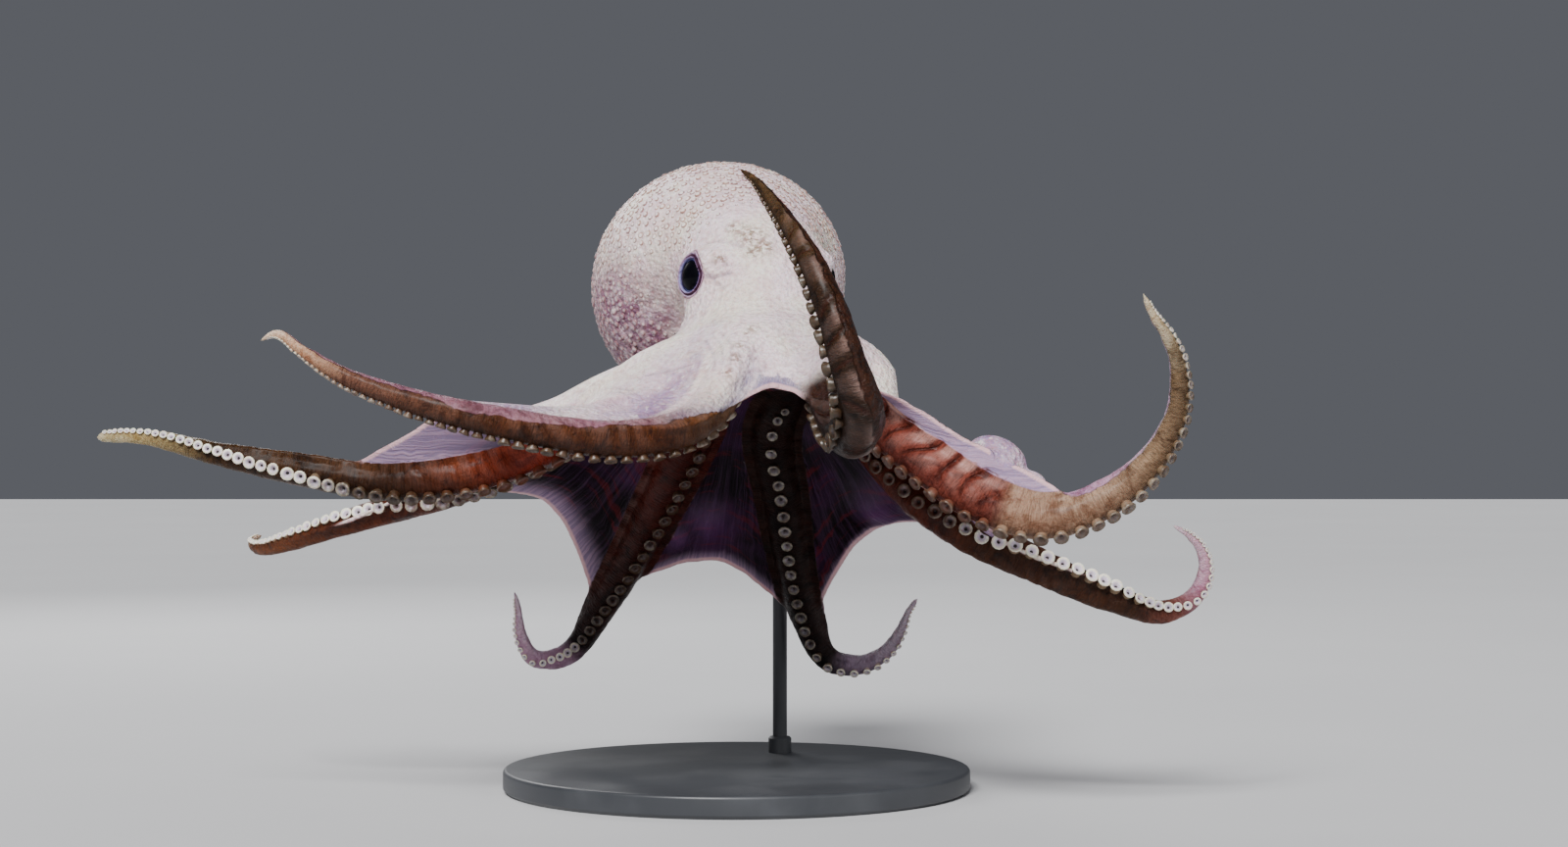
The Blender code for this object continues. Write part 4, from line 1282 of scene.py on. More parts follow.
bpy.context.view_layer.update()
random = np.random.default_rng(11)
sucker_places, sucker_arms, sucker_shares, sucker_pale = [], [], [], []
for number, (name, arm) in enumerate(arms.items()):
    share = FIRST_SUCKER.get(name, SUCKER_START)
    large, spread = SUCKER_SPREAD.get(name, (1.0, 1.0))
    while share < SUCKER_END:
        middle, ahead, oral, flank, radius = (row[0] for row in arm.at(share))
        wide = large * min(SUCKER_LARGEST, SUCKER_SHARE * radius)
        wide *= 0.50 + 0.50 * ramp(share, -0.02, 0.14)
        hit, foot, _, _ = skin.ray_cast(middle + oral * radius * 1.5, -oral,
                                        distance=radius * 1.5)
        foot = np.array(foot) if hit else middle + oral * radius * ARM_FRONT
        lean = random.normal(0.0, SUCKER_JITTER, 2)
        out = unit(oral + ahead * lean[0] + flank * lean[1])
        along_arm = unit(ahead - out * np.dot(ahead, out))
        grown = wide * 0.5 * random.uniform(0.93, 1.07)
        place = np.eye(4)
        place[:3, :3] = np.column_stack([along_arm, np.cross(out, along_arm), out]) * grown
        place[:3, 3] = foot
        sucker_places.append(place)
        sucker_arms.append(number)
        sucker_shares.append(share)
        sucker_pale.append(np.interp(share, *zip(*SUCKER_PALE[name])) + random.normal(0.0, 0.04))
        gap = np.interp(share, [0.1, 0.6], SUCKER_GAP)
        share += wide * gap * spread / arm.length
suckers = scattered("suckers", sucker, SUCKER_PROFILE, np.array(sucker_places))
sucker.free()
sucker_flesh = flesh_and_shade_colours(np.array(sucker_arms), np.array(sucker_shares))
keep(suckers.data, "flesh", for_each_copy(sucker_flesh, suckers, len(sucker_places)))
keep(suckers.data, "pale", for_each_copy(np.array(sucker_pale), suckers, len(sucker_places)))
print("suckers:", len(sucker_places), "faces:", len(suckers.data.polygons))

# %% [markdown]
# ## Warts
#
# The mantle is covered with low warts, each a pale dome inside a thin brown ring. They lie as
# close as they can without touching, but in no pattern. That is what throwing darts gives:
# random places on the skin are taken in turn, and one is kept only if no earlier wart is
# nearer than the spacing. A grid of boxes keeps the search short.

# %% Low domes all over the mantle
WART_PROFILE = [(0.0, -0.25), (1.0, -0.25), (0.86, 0.08), (0.50, 0.24), (0.0, 0.26)]
WART_SIDES = 8
WART_RADIUS = 2.05 * MM
WART_SPACING = 3.85 * MM
WART_TRIES = 60000


def dart_places(points, faces, weights, spacing, tries, seed):
    """Random places on the weighted faces, none closer to another than the spacing."""
    random = np.random.default_rng(seed)
    a, b, c = (points[faces[:, side]] for side in range(3))
    normals = np.cross(b - a, c - a)
    area = np.linalg.norm(normals, axis=1)
    chance = area * weights
    picked = random.choice(len(faces), tries, p=chance / chance.sum())
    u, v = random.random((2, tries, 1))
    u, v = np.where(u + v > 1.0, 1.0 - u, u), np.where(u + v > 1.0, 1.0 - v, v)
    darts = a[picked] + (b - a)[picked] * u + (c - a)[picked] * v
    boxes, kept = {}, []
    for number, dart in enumerate(darts):
        box = tuple((dart // spacing).astype(int))
        around = (other for x in (-1, 0, 1) for y in (-1, 0, 1) for z in (-1, 0, 1)
                  for other in boxes.get((box[0] + x, box[1] + y, box[2] + z), ()))
        if all(np.linalg.norm(dart - darts[other]) > spacing for other in around):
            boxes.setdefault(box, []).append(number)
            kept.append(number)
    return darts[kept], picked[kept]


faces = np.empty(len(skin.data.polygons) * 3, int)
skin.data.polygons.foreach_get("vertices", faces)
faces = faces.reshape(-1, 3)
crown_of_head = ramp(points[:, 2], 0.280, 0.292) * ramp(zone["ahead"], 62.0 * MM, 46.0 * MM)
warty = np.maximum(zone["mantle"], crown_of_head) * ramp(lid_ring, 15.0, 19.0)
face_warty = warty[faces].mean(axis=1)
spots, on_face = dart_places(points, faces, face_warty > 0.15, WART_SPACING, WART_TRIES, 5)
a_corner = faces[on_face, 0]
random = np.random.default_rng(6)
out = unit(normals[a_corner] + random.normal(0.0, 0.06, (len(spots), 3)))
side = unit(np.cross(out, random.normal(size=(len(spots), 3))))
grown = WART_RADIUS * random.uniform(0.72, 1.08, len(spots)) * (0.5 + 0.5 * warty[a_corner])
wart_places = np.tile(np.eye(4), (len(spots), 1, 1))
wart_places[:, :3, :3] = np.stack([side, np.cross(out, side), out], axis=2)
wart_places[:, :3, :3] *= grown[:, None, None]
wart_places[:, :3, 3] = spots
wart = turned(WART_PROFILE, WART_SIDES)
warts = scattered("warts", wart, WART_PROFILE, wart_places)
wart.free()
for name, values in (("shade_and_blotches", zone["shade_and_blotches"]), ("stain", stain)):
    keep(warts.data, name, for_each_copy(values[a_corner], warts, len(spots)))
keep(warts.data, "tint", for_each_copy(random.random(len(spots)), warts, len(spots)))
print("warts:", len(spots), "triangles:", sum(len(face.vertices) - 2
                                              for face in warts.data.polygons))

# %% [markdown]
# ## Eyeballs
#
# The eyes in the frame have few faces, so finer balls of the same size stand for them. Each
# corner remembers its distance from the line of sight, and the material draws the pupil and
# the rings around it from that number.

# %% Finer eyeballs
eyeballs = []
for eye in eyes:
    ball = bmesh.new()
    bmesh.ops.create_uvsphere(ball, u_segments=64, v_segments=40, radius=eye.radius)
    turn = Vector((0.0, 0.0, 1.0)).rotation_difference(Vector(eye.axis)).to_matrix()
    bmesh.ops.rotate(ball, verts=ball.verts[:], cent=(0.0, 0.0, 0.0), matrix=turn)
    bmesh.ops.translate(ball, verts=ball.verts[:], vec=eye.middle)
    mesh = mesh_of(ball, eye.node.replace("eye", "eyeball"))
    mesh.shade_smooth()
    offset = read_points(mesh) - eye.middle
    out = offset @ eye.axis
    aside = np.linalg.norm(offset - np.outer(out, eye.axis), axis=1)
    keep(mesh, "from_axis", np.where(out > 0.0, aside / MM, 2.0 * eye.radius / MM))
    eyeballs.append(placed(mesh.name, mesh))
print("eyeballs:", [eyeball.name for eyeball in eyeballs])

# %% [markdown]
# ## Small words for shader nodes
#
# A material is a tree of nodes, and wiring one by hand takes three lines a node. These
# helpers add a node, set it and wire it in one line, and give back the socket to use next.

# %% Node helpers
class Nodes:
    def __init__(self, tree):
        self.tree = tree

    def add(self, kind, inputs=None, out=0, **settings):
        made = self.tree.nodes.new("ShaderNode" + kind)
        for name, value in settings.items():
            setattr(made, name, value)
        for name, value in (inputs or {}).items():
            self.set(made.inputs[name], value)
        return made.outputs[out]

    def set(self, socket, value):
        if isinstance(value, bpy.types.NodeSocket):
            self.tree.links.new(value, socket)
        else:
            socket.default_value = value

    def read(self, name, out="Fac"):
        return self.add("Attribute", out=out, attribute_name=name)

    def sums(self, operation, one, other=0.0):
        return self.add("Math", {0: one, 1: other}, operation=operation)

    def times(self, one, other):
        return self.sums("MULTIPLY", one, other)

    def plane(self, *parts):
        """A place for noise, made of named attributes, each times its own scale."""
        return self.add("CombineXYZ", {axis: self.times(self.read(name), scale)
                                       for axis, (name, scale) in enumerate(parts)})

    def span(self, value, start, end, low=0.0, high=1.0):
        return self.add("MapRange", {"Value": value, "From Min": start, "From Max": end,
                                     "To Min": low, "To Max": high},
                        interpolation_type="SMOOTHSTEP")

    def mix(self, factor, one, other, blend_type="MIX"):
        return self.add("Mix", {0: factor, 6: one, 7: other}, out=2, data_type="RGBA",
                        blend_type=blend_type)

    def noise(self, scale, vector, detail=3.0, roughness=0.55, distortion=0.0):
        return self.add("TexNoise", {"Scale": scale, "Vector": vector, "Detail": detail,
                                     "Roughness": roughness, "Distortion": distortion})

    def ramp(self, value, stops):
        made = self.tree.nodes.new("ShaderNodeValToRGB")
        self.set(made.inputs[0], value)
        while len(made.color_ramp.elements) < len(stops):
            made.color_ramp.elements.new(1.0)
        for element, (place, colour) in zip(made.color_ramp.elements, stops):
            element.position = place
            element.color = colour
        return made.outputs[0]


def new_material(name, **settings):
    """A material with its Principled shader and the helper for its other nodes."""
    material = bpy.data.materials.new(name)
    material.use_nodes = True
    shader = material.node_tree.nodes["Principled BSDF"]
    for socket, value in settings.items():
        shader.inputs[socket.replace("_", " ")].default_value = value
    return material, Nodes(material.node_tree), shader.inputs


print("node helpers ready")

# %% [markdown]
# ## The white outer skin
#
# Skin and warts share the outer colour, so it is a group. It is a pinkish white with cream
# clouds and fine grains. Low on one side of the mantle and on the cheek it darkens towards
# violet as painted shade, and reddish brown blotches gather there. The web turns to a greyer
# lavender, which is partly painted shade where the band is wide over its hollows.

# %% Group: outer skin
outer_group = bpy.data.node_groups.new("outer_skin", "ShaderNodeTree")
for socket_name in ("Shade_And_Blotches", "Stain", "Web"):
    outer_group.interface.new_socket(socket_name, in_out="INPUT",
                                     socket_type="NodeSocketFloat")
for socket_name, kind in (("Color", "NodeSocketColor"), ("Height", "NodeSocketFloat")):
    outer_group.interface.new_socket(socket_name, in_out="OUTPUT", socket_type=kind)
nodes = Nodes(outer_group)
given = outer_group.nodes.new("NodeGroupInput").outputs
place = nodes.add("TexCoord", out="Object")
clouds = nodes.noise(34.0, place, detail=4.0)
colour = nodes.mix(nodes.span(clouds, 0.38, 0.66), tone(250, 230, 236), tone(252, 245, 228))
pinkish = nodes.span(nodes.noise(16.0, place, detail=2.0), 0.42, 0.72)
colour = nodes.mix(nodes.times(pinkish, 0.42), colour, tone(228, 186, 202))
# The web's outer face turns lavender towards its margin: its own tint, and in the wide bands over
# the hollows also painted shade.
veil = nodes.span(nodes.noise(60.0, place, detail=5.0, distortion=0.6), 0.40, 0.66, 0.5, 1.0)
colour = nodes.mix(nodes.times(given["Web"], veil), colour, tone(150, 122, 166))
reddish = nodes.span(nodes.noise(75.0, place, detail=6.0, roughness=0.65), 0.50, 0.68, 0.0, 0.24)
colour = nodes.mix(reddish, colour, tone(190, 136, 130))
# Painted shade: low on one side the skin darkens to reddish brown blotches and a violet tint.
blotch = nodes.span(nodes.noise(130.0, place, detail=5.0, roughness=0.62), 0.38, 0.58, 0.35, 1.0)
shaded_blotches = nodes.times(nodes.span(given["Shade_And_Blotches"], 0.02, 0.85), blotch)
colour = nodes.mix(nodes.times(shaded_blotches, 0.92), colour, tone(92, 40, 52))
violet_shade = nodes.times(nodes.span(given["Shade_And_Blotches"], 0.05, 0.9), 0.42)
colour = nodes.mix(violet_shade, colour, tone(140, 90, 142))
spotty = nodes.span(nodes.noise(420.0, place, detail=3.0), 0.40, 0.58)
stained = nodes.times(nodes.times(given["Stain"], spotty), 0.85)
colour = nodes.mix(stained, colour, tone(122, 92, 60))
grains = nodes.noise(1100.0, place, detail=2.0)
colour = nodes.mix(nodes.span(grains, 0.50, 0.70, 0.0, 0.35), colour, tone(186, 138, 132))
speckle = nodes.noise(340.0, place, detail=4.0, roughness=0.72)
colour = nodes.mix(nodes.span(speckle, 0.52, 0.66, 0.0, 0.34), colour, tone(170, 128, 136))
colour = nodes.mix(nodes.span(speckle, 0.46, 0.36, 0.0, 0.45), colour, tone(252, 248, 240))
lumps = nodes.add("TexVoronoi", {"Scale": 480.0, "Vector": place}, feature="SMOOTH_F1")
colour = nodes.mix(nodes.span(lumps, 0.35, 0.75, 0.0, 0.30), colour, tone(180, 132, 130))
rumple = nodes.noise(160.0, place, detail=5.0)
height = nodes.sums("ADD", nodes.times(grains, 0.4), nodes.times(lumps, -1.2))
height = nodes.sums("ADD", height, nodes.times(rumple, 1.4))
height = nodes.sums("SUBTRACT", height, nodes.times(speckle, 0.9))
result = outer_group.nodes.new("NodeGroupOutput").inputs
nodes.set(result["Color"], colour)
nodes.set(result["Height"], height)
print("outer skin nodes:", len(outer_group.nodes))


def outer_skin(nodes, web=0.0):
    made = nodes.tree.nodes.new("ShaderNodeGroup")
    made.node_tree = outer_group
    for name in ("Shade_And_Blotches", "Stain"):
        nodes.set(made.inputs[name], nodes.read(name.lower()))
    nodes.set(made.inputs["Web"], web)
    return made.outputs


# %% [markdown]
# ## The whole skin's colours
#
# One material colours the whole skin from its attributes. The white outside ends sharply
# along a line on each arm's side, a little above the web's hold, and below it the flesh is
# orange to olive brown with dark marbling, with painted shade towards the suckers and in the
# creases. The inside of the web is a dark purple, darkened further as painted shade, with red
# fibres that run out from the mouth. Round the eyes the lids are banded in plum and lilac,
# with painted shade in the bands that lie in the lids' grooves.

# %% Material: skin
skin_material, nodes, shader = new_material(
    "octopus_skin", Subsurface_Weight=0.10, Subsurface_Scale=0.004, Coat_Roughness=0.28,
    Specular_IOR_Level=0.15)
place = nodes.add("TexCoord", out="Object")
web_part = nodes.times(nodes.read("on_web"), nodes.read("veil"))
outside = outer_skin(nodes, web_part)
streak = nodes.noise(1.0, nodes.plane(("across", 150.0), ("along", 5.0)), detail=2.0)
ragged = nodes.span(nodes.noise(230.0, place, detail=3.0), 0.3, 0.7, -2.5, 2.5)
band_reach = nodes.sums("ADD", nodes.read("to_margin"), ragged)
edge_band = nodes.times(nodes.read("on_web"), nodes.span(band_reach, 9.0, 6.5))
edge_band = nodes.sums("MAXIMUM", edge_band, nodes.read("hem"))
edge_band = nodes.times(edge_band, nodes.span(streak, 0.4, 0.6, 0.5, 0.95))
outer_colour = nodes.mix(edge_band, outside["Color"], tone(126, 116, 148))
# Painted shade: narrow fold valleys and the creases round the eyes are darkened.
crease_shade = nodes.read("line")
outer_colour = nodes.mix(nodes.times(crease_shade, 0.55), outer_colour, tone(112, 84, 104))
# A pink patch over each swelling on the outside: partly the skin's own pink, partly painted light
# on its raised top.
outer_colour = nodes.mix(nodes.times(nodes.read("swelling"), 0.6), outer_colour,
                         tone(206, 158, 178))
marble = nodes.noise(95.0, place, detail=6.0, roughness=0.62, distortion=1.4)
back = nodes.mix(1.0, outer_colour, nodes.read("back", out="Color"), "MULTIPLY")
back = nodes.mix(nodes.span(marble, 0.46, 0.66, 0.0, 0.7), back, back, "MULTIPLY")
outer_colour = nodes.mix(nodes.read("further"), outer_colour, back)

on_pad = nodes.span(nodes.read("pad"), 0.3, 0.7)
muscle = nodes.read("flesh", out="Color")
darker = nodes.mix(1.0, muscle, muscle, "MULTIPLY")
lighter = nodes.mix(1.0, muscle, muscle, "SCREEN")
flesh_colour = nodes.mix(nodes.span(marble, 0.48, 0.64, 0.0, 0.70), muscle, darker)
flesh_colour = nodes.mix(nodes.span(nodes.noise(60.0, place, detail=5.0), 0.50, 0.72, 0.0, 0.60),
                         flesh_colour, lighter)
wrinkles = nodes.plane(("run", 0.75), ("toward", 1.6), ("beside", 1.0))
wrinkle = nodes.noise(1.0, wrinkles, detail=5.0, distortion=1.1)
crepe = nodes.noise(420.0, place, detail=4.0, distortion=0.8)
flesh_colour = nodes.mix(nodes.span(wrinkle, 0.50, 0.62, 0.0, 0.42), flesh_colour, darker)
# Painted shade: the arms' sides darken towards the suckers, which face down away from the light.
flesh_colour = nodes.mix(nodes.span(nodes.read("toward"), 0.05, 0.75, 0.0, 0.45), flesh_colour,
                         darker)
# Painted light on the creases: their bulges are lighter, most on the upper side, and their valleys
# are darker as painted shade.
waves = nodes.sums("ABSOLUTE", nodes.sums("SINE", nodes.times(nodes.read("phase"), math.pi)))
valley = nodes.times(nodes.span(waves, 0.30, 0.03), nodes.read("bunched"))
high_up = nodes.span(nodes.read("toward"), 0.1, -0.6, 0.15, 0.8)
lit_bulge = nodes.times(nodes.span(waves, 0.45, 0.95), nodes.read("bunched"))
lit_bulge = nodes.times(lit_bulge, nodes.sums("MAXIMUM", high_up, on_pad))
flesh_colour = nodes.mix(lit_bulge, flesh_colour, nodes.mix(0.6, lighter, tone(232, 190, 178)))
flesh_colour = nodes.mix(nodes.times(valley, 0.8), flesh_colour, tone(58, 20, 14))

border = nodes.sums("ADD", nodes.read("border"), nodes.span(nodes.noise(70.0, place), 0.3, 0.7,
                                                            -0.07, 0.07))
lateral = nodes.times(nodes.span(border, -0.05, 0.05),
                      nodes.span(nodes.read("on_arm"), 0.25, 0.60))
lateral = nodes.sums("MAXIMUM", lateral, on_pad)
colour = nodes.mix(lateral, outer_colour, flesh_colour)

fibres = nodes.noise(1.0, nodes.plane(("across", 3.0), ("along", 26.0)), detail=3.0)
fibre = nodes.span(fibres, 0.54, 0.66)
pleats = nodes.noise(1.0, nodes.plane(("across", 60.0), ("along", 2.0)), detail=3.0)
# The web's own dark purple, darkened further as painted shade, since it lies deep under the arms.
purple = nodes.mix(nodes.span(nodes.noise(26.0, place, detail=3.0), 0.44, 0.66),
                   tone(14, 5, 12), tone(58, 26, 60))
purple = nodes.mix(nodes.span(pleats, 0.45, 0.65, 0.0, 0.22), purple, tone(104, 70, 108))
purple = nodes.mix(nodes.times(fibre, 0.55), purple, tone(104, 26, 32))
# Painted light: inside the web each swelling is lighter on its raised top.
purple = nodes.mix(nodes.times(nodes.read("swelling"), 0.6), purple,
                   tone(120, 76, 128))
thin_web = nodes.mix(nodes.span(pleats, 0.40, 0.62), tone(146, 124, 156), tone(184, 154, 180))
purple = nodes.mix(nodes.span(nodes.read("strip"), 0.0, 0.9, 0.0, 0.9), purple, thin_web)
inside = nodes.times(nodes.span(nodes.read("inner"), 0.35, 0.65),
                     nodes.sums("SUBTRACT", 1.0, on_pad))
colour = nodes.mix(inside, colour, purple)
rim = nodes.times(nodes.read("on_web"), nodes.span(nodes.read("to_margin"), 3.4, 2.0))
colour = nodes.mix(nodes.times(rim, 0.8), colour, tone(232, 186, 188))

# The lids' own plum and lilac bands, placed so that the dark ones fall on the lid's inner wall and
# in its groove and the pale ones on its ridges: painted shade and painted light.
LID_SPAN = 16.0              # mm from the eye's axis that the ramp below covers
lid = nodes.sums("DIVIDE", nodes.read("lid"), LID_SPAN)
lid_colour = nodes.ramp(lid, [(millimetres / LID_SPAN, tone(*shade)) for millimetres, shade in (
    (8.6, (14, 7, 18)), (9.0, (40, 26, 58)), (9.35, (140, 138, 188)), (9.7, (150, 124, 166)),
    (10.2, (52, 20, 42)), (11.0, (60, 24, 48)), (11.5, (178, 148, 178)), (12.0, (200, 174, 192)),
    (12.5, (112, 64, 90)), (13.2, (216, 190, 198)))])
colour = nodes.mix(nodes.span(nodes.read("lid"), 13.9, 12.6), colour, lid_colour)
nodes.set(shader["Base Color"], colour)

rough = nodes.span(nodes.noise(210.0, place, detail=3.0), 0.35, 0.70, 0.34, 0.52)
nodes.set(shader["Roughness"], rough)
nodes.set(shader["Coat Weight"], nodes.span(nodes.noise(40.0, place), 0.35, 0.7, 0.03, 0.12))
creased = nodes.sums("ADD", nodes.times(wrinkle, 1.6),
                     nodes.times(crepe, 0.9))
creased = nodes.sums("SUBTRACT", creased, nodes.times(valley, 0.8))
relief = nodes.mix(lateral, outside["Height"], creased)
relief = nodes.mix(inside, relief, nodes.sums("ADD", pleats, nodes.times(crepe, 0.3)))
bump = nodes.add("Bump", {"Strength": 0.9, "Distance": 0.0012, "Height": relief}, out="Normal")
nodes.set(shader["Normal"], bump)
skin.data.materials.append(skin_material)
print("skin nodes:", len(skin_material.node_tree.nodes))

# %% [markdown]
# ## Suckers and warts
#
# Both are turned shapes that remember the profile they were spun from, so their rings of
# colour are ramps along it. A sucker has a stalk like the flesh around it, a pale rim, a
# lilac disc and a hole painted dark as the shade inside it. A wart is pale on top with a
# brown ring, and takes the colour of the skin at its foot.

# %% Materials: suckers and warts
sucker_material, nodes, shader = new_material(
    "sucker_skin", Subsurface_Weight=0.12, Subsurface_Scale=0.003, Coat_Roughness=0.2)
place = nodes.add("TexCoord", out="Object")
profile = nodes.read("profile")
muscle = nodes.read("flesh", out="Color")
pale = nodes.sums("ADD", nodes.read("pale"), nodes.span(nodes.noise(300.0, place), 0.3, 0.7,
                                                        -0.12, 0.12))
olive = nodes.mix(0.78, muscle, tone(66, 52, 34))
stalk = nodes.mix(0.55, muscle, olive)
stalk = nodes.mix(nodes.times(pale, 0.35), stalk, tone(226, 196, 160))
rim_colour = nodes.mix(nodes.span(pale, 0.0, 0.9), olive, tone(250, 242, 222))
disc = nodes.mix(nodes.span(pale, 0.0, 0.9), nodes.mix(0.6, muscle, tone(38, 26, 18)),
                 tone(206, 194, 208))
colour = nodes.mix(nodes.span(profile, 0.29, 0.40), stalk, rim_colour)
colour = nodes.mix(nodes.span(profile, 0.59, 0.68), colour, disc)
# Painted shade: the hole in the sucker's middle is near black.
colour = nodes.mix(nodes.span(profile, 0.74, 0.86), colour, tone(34, 18, 18))
colour = nodes.mix(nodes.span(nodes.noise(700.0, place, detail=3.0), 0.50, 0.70, 0.0, 0.22),
                   colour, tone(120, 80, 60))
nodes.set(shader["Base Color"], colour)
nodes.set(shader["Roughness"], nodes.span(nodes.noise(500.0, place), 0.3, 0.7, 0.36, 0.50))
nodes.set(shader["Coat Weight"], nodes.span(profile, 0.2, 0.6, 0.04, 0.16))
bump = nodes.add("Bump", {"Strength": 0.3, "Distance": 0.0003,
                          "Height": nodes.noise(900.0, place, detail=3.0)}, out="Normal")
nodes.set(shader["Normal"], bump)
suckers.data.materials.append(sucker_material)

wart_material, nodes, shader = new_material(
    "wart_skin", Subsurface_Weight=0.10, Subsurface_Scale=0.003, Coat_Roughness=0.28)
place = nodes.add("TexCoord", out="Object")
outside = outer_skin(nodes)
profile = nodes.read("profile")
brown = nodes.mix(nodes.read("tint"), tone(122, 76, 74), tone(164, 118, 98))
# In the painted shade a wart's brown ring and pale top are both fainter.
brown = nodes.mix(nodes.span(nodes.read("shade_and_blotches"), 0.0, 0.5, 0.9, 0.45), outside["Color"], brown)
top = nodes.mix(nodes.sums("SUBTRACT", 0.60, nodes.times(nodes.read("shade_and_blotches"), 0.35)),
                outside["Color"], tone(250, 240, 234))
colour = nodes.mix(nodes.span(profile, 0.22, 0.40), outside["Color"], brown)
colour = nodes.mix(nodes.span(profile, 0.62, 0.80), colour, top)
nodes.set(shader["Base Color"], colour)
nodes.set(shader["Roughness"], nodes.span(nodes.noise(600.0, place), 0.3, 0.7, 0.36, 0.50))
nodes.set(shader["Coat Weight"], nodes.span(nodes.noise(40.0, place), 0.35, 0.7, 0.03, 0.12))
bump = nodes.add("Bump", {"Strength": 0.25, "Distance": 0.0003, "Height": outside["Height"]},
                 out="Normal")
nodes.set(shader["Normal"], bump)
warts.data.materials.append(wart_material)
print("sucker and wart materials ready")

# %% [markdown]
# ## Eyes
#
# The pupil fills most of the opening and is nearly black. Thin rings of blue white and deep
# violet surround it. A clear wet coat over it all gives the highlight.

# %% Material: eyes
EYE_SPAN = 12.0              # mm from the line of sight that the ramp covers
eye_material, nodes, shader = new_material(
    "wet_eye", Roughness=0.6, Coat_Weight=0.14, Coat_Roughness=0.04, Specular_IOR_Level=0.03)
place = nodes.add("TexCoord", out="Object")
ripple = nodes.span(nodes.noise(500.0, place, detail=2.0), 0.3, 0.7, -0.15, 0.15)
aside = nodes.sums("DIVIDE", nodes.sums("ADD", nodes.read("from_axis"), ripple), EYE_SPAN)
colour = nodes.ramp(aside, [(millimetres / EYE_SPAN, tone(*shade)) for millimetres, shade in (
    (7.0, (3, 3, 8)), (7.6, (10, 8, 26)), (7.9, (44, 38, 84)), (8.1, (130, 146, 206)),
    (8.3, (176, 188, 228)), (8.5, (40, 30, 62)), (9.2, (14, 8, 18)))])
nodes.set(shader["Base Color"], colour)
for eyeball in eyeballs:
    eyeball.data.materials.append(eye_material)
print("eye material ready")

# %% [markdown]
# ## The stand
#
# The solids of the stand have flat sides, so a rounder base and rod of the same size stand for
# them. Both are turned: the base from a profile with a rounded rim and a small bevel below, the
# rod from a collar, a straight length and a rounded end. They get a satin charcoal paint,
# whose fine orange peel is noise in the bump, and larger noise changes how much it shines.

# %% A turned base and rod
BASE_SIDES, ROD_SIDES = 128, 32
RIM_ROUND = 2.0 * MM
SHARP = math.radians(40.0)   # edges that bend more than this stay sharp
COLLAR = (2.4, 9.0)          # how much wider than the rod, and how tall, in mm
base_low, base_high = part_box("stand_base")
rod_low, rod_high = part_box("stand_rod")
base_radius = 0.5 * (base_high.x - base_low.x)
rod_radius = 0.5 * (rod_high.x - rod_low.x)


def turned_piece(name, profile, sides, where):
    """A turned shape that stands at a place, from its radii and heights."""
    shape = turned(profile, sides)
    bmesh.ops.translate(shape, verts=shape.verts[:], vec=(where.x, where.y, 0.0))
    mesh = mesh_of(shape, name)
    mesh.shade_smooth()
    mesh.set_sharp_from_angle(angle=SHARP)
    return placed(name, mesh)


bend = [math.radians(angle) for angle in range(0, 91, 15)]
rim = [(base_radius - RIM_ROUND * (1.0 - math.cos(angle)),
        base_high.z - RIM_ROUND * (1.0 - math.sin(angle))) for angle in bend]
base = turned_piece("display_base", [(0.0, 0.0), (base_radius - RIM_ROUND, 0.0),
                                     (base_radius, RIM_ROUND)] + rim + [(0.0, base_high.z)],
                    BASE_SIDES, (base_low + base_high) * 0.5)
collar_radius, collar_top = rod_radius + COLLAR[0] * MM, base_high.z + COLLAR[1] * MM
rod = turned_piece("display_rod", [
    (0.0, base_high.z), (collar_radius, base_high.z), (collar_radius, collar_top - 1.0 * MM),
    (collar_radius - 1.0 * MM, collar_top), (rod_radius, collar_top),
    (rod_radius, rod_high.z - rod_radius)] + [
    (rod_radius * math.cos(angle), rod_high.z - rod_radius * (1.0 - math.sin(angle)))
    for angle in bend[1:-1]] + [(0.0, rod_high.z)], ROD_SIDES, (rod_low + rod_high) * 0.5)
print("base radius in mm:", round(base_radius / MM, 1), "rod:", round(rod_radius / MM, 1))

# %% Material: stand
stand_material, nodes, shader = new_material("stand_paint", Metallic=0.0)
place = nodes.add("TexCoord", out="Object")
dust = nodes.noise(18.0, place, detail=5.0)
nodes.set(shader["Base Color"], nodes.mix(nodes.span(dust, 0.4, 0.7), tone(52, 54, 58),
                                          tone(66, 68, 72)))
nodes.set(shader["Roughness"], nodes.span(dust, 0.35, 0.7, 0.38, 0.52))
peel = nodes.noise(900.0, place, detail=2.0)
nodes.set(shader["Normal"], nodes.add("Bump", {"Strength": 0.12, "Distance": 0.0002,
                                               "Height": peel}, out="Normal"))
for piece in (base, rod):
    piece.data.materials.append(stand_material)
print("stand painted")

# %% [markdown]
# ## What stands for what
#
# The skin takes the place of all the flesh solids, the eyeballs of the two eyes, and the
# turned base and rod of the stand's solids. The model is still, so every piece rides on the
# one body.

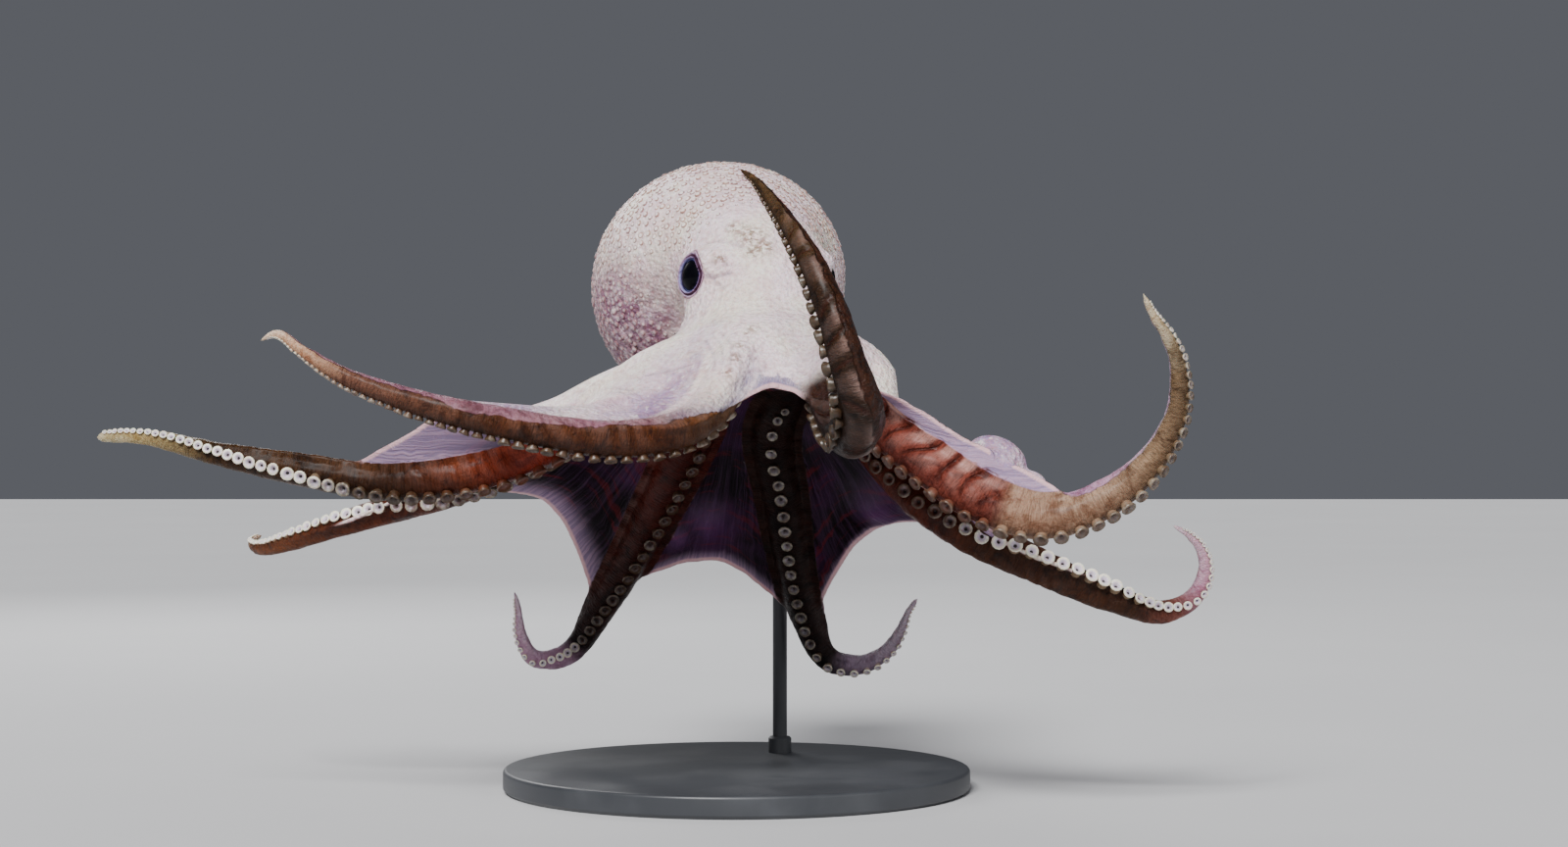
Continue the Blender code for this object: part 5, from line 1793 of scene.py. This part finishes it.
# %% Ride and replace
flesh_nodes = [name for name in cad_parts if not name.startswith(("eye", "stand"))]
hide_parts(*flesh_nodes)
for eye, eyeball in zip(eyes, eyeballs):
    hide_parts(eye.node)
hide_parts("stand_base")
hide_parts("stand_rod")
for piece, slot_name in ((skin, "body_skin"), (suckers, "arm_skin"), (warts, "body_skin"),
                         (eyeballs[0], "eye"), (eyeballs[1], "eye"),
                         (base, "stand"), (rod, "stand")):
    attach(piece, "root")
print("flesh solids replaced:", len(flesh_nodes))

# %% [markdown]
# ## Floor, light and camera
#
# A pale floor, one broad soft light from above and in front, a weaker lamp at the side and a
# faint one behind show the shape plainly. The surroundings are a dark grey, so that the white
# head stands out.

# %% Floor, lamps and camera
FLOOR_REACH = 6.0
ground = bmesh.new()
bmesh.ops.create_grid(ground, x_segments=1, y_segments=1, size=FLOOR_REACH)
floor = placed("floor", mesh_of(ground, "floor"))
floor_material, nodes, shader = new_material("floor_paper", Roughness=0.9)
place = nodes.add("TexCoord", out="Object")
nodes.set(shader["Base Color"], nodes.mix(nodes.noise(3.0, place), tone(196, 196, 198),
                                          tone(204, 204, 205)))
floor.data.materials.append(floor_material)


def lamp(name, where, power, size=None):
    """A round soft lamp, or without a size a broad even light from that side, like a sky's."""
    light = bpy.data.lights.new(name, "AREA" if size else "SUN")
    light.energy = power
    if size:
        light.shape = "DISK"
        light.size = size
    else:
        light.angle = KEY_SPREAD
    made = placed(name, light)
    made.location = where
    made.rotation_euler = (LAMP_AIM - Vector(where)).to_track_quat("-Z", "Y").to_euler()


LAMP_AIM = Vector((0.0, -0.05, 0.22))
KEY_SPREAD = math.radians(22.0)
lamp("key", (-0.35, -1.3, 1.35), 5.2)
lamp("fill", (1.5, -1.0, 0.6), 5.0, size=1.0)
lamp("back", (-0.7, 1.4, 1.0), 10.0, size=0.8)
world = bpy.data.worlds.new("studio")
world.use_nodes = True
world.node_tree.nodes["Background"].inputs["Color"].default_value = (0.11, 0.115, 0.13, 1.0)
bpy.context.scene.world = world

camera = bpy.data.cameras.new("camera")
camera.lens = 67.18
camera.sensor_width = 36.0
viewer = placed("camera", camera)
viewer.location = (0.0253, -1.570, 0.196)
viewer.rotation_euler = (math.pi / 2.0, 0.0, 0.0)
bpy.context.scene.camera = viewer
print("lamps:", len(bpy.data.lights))
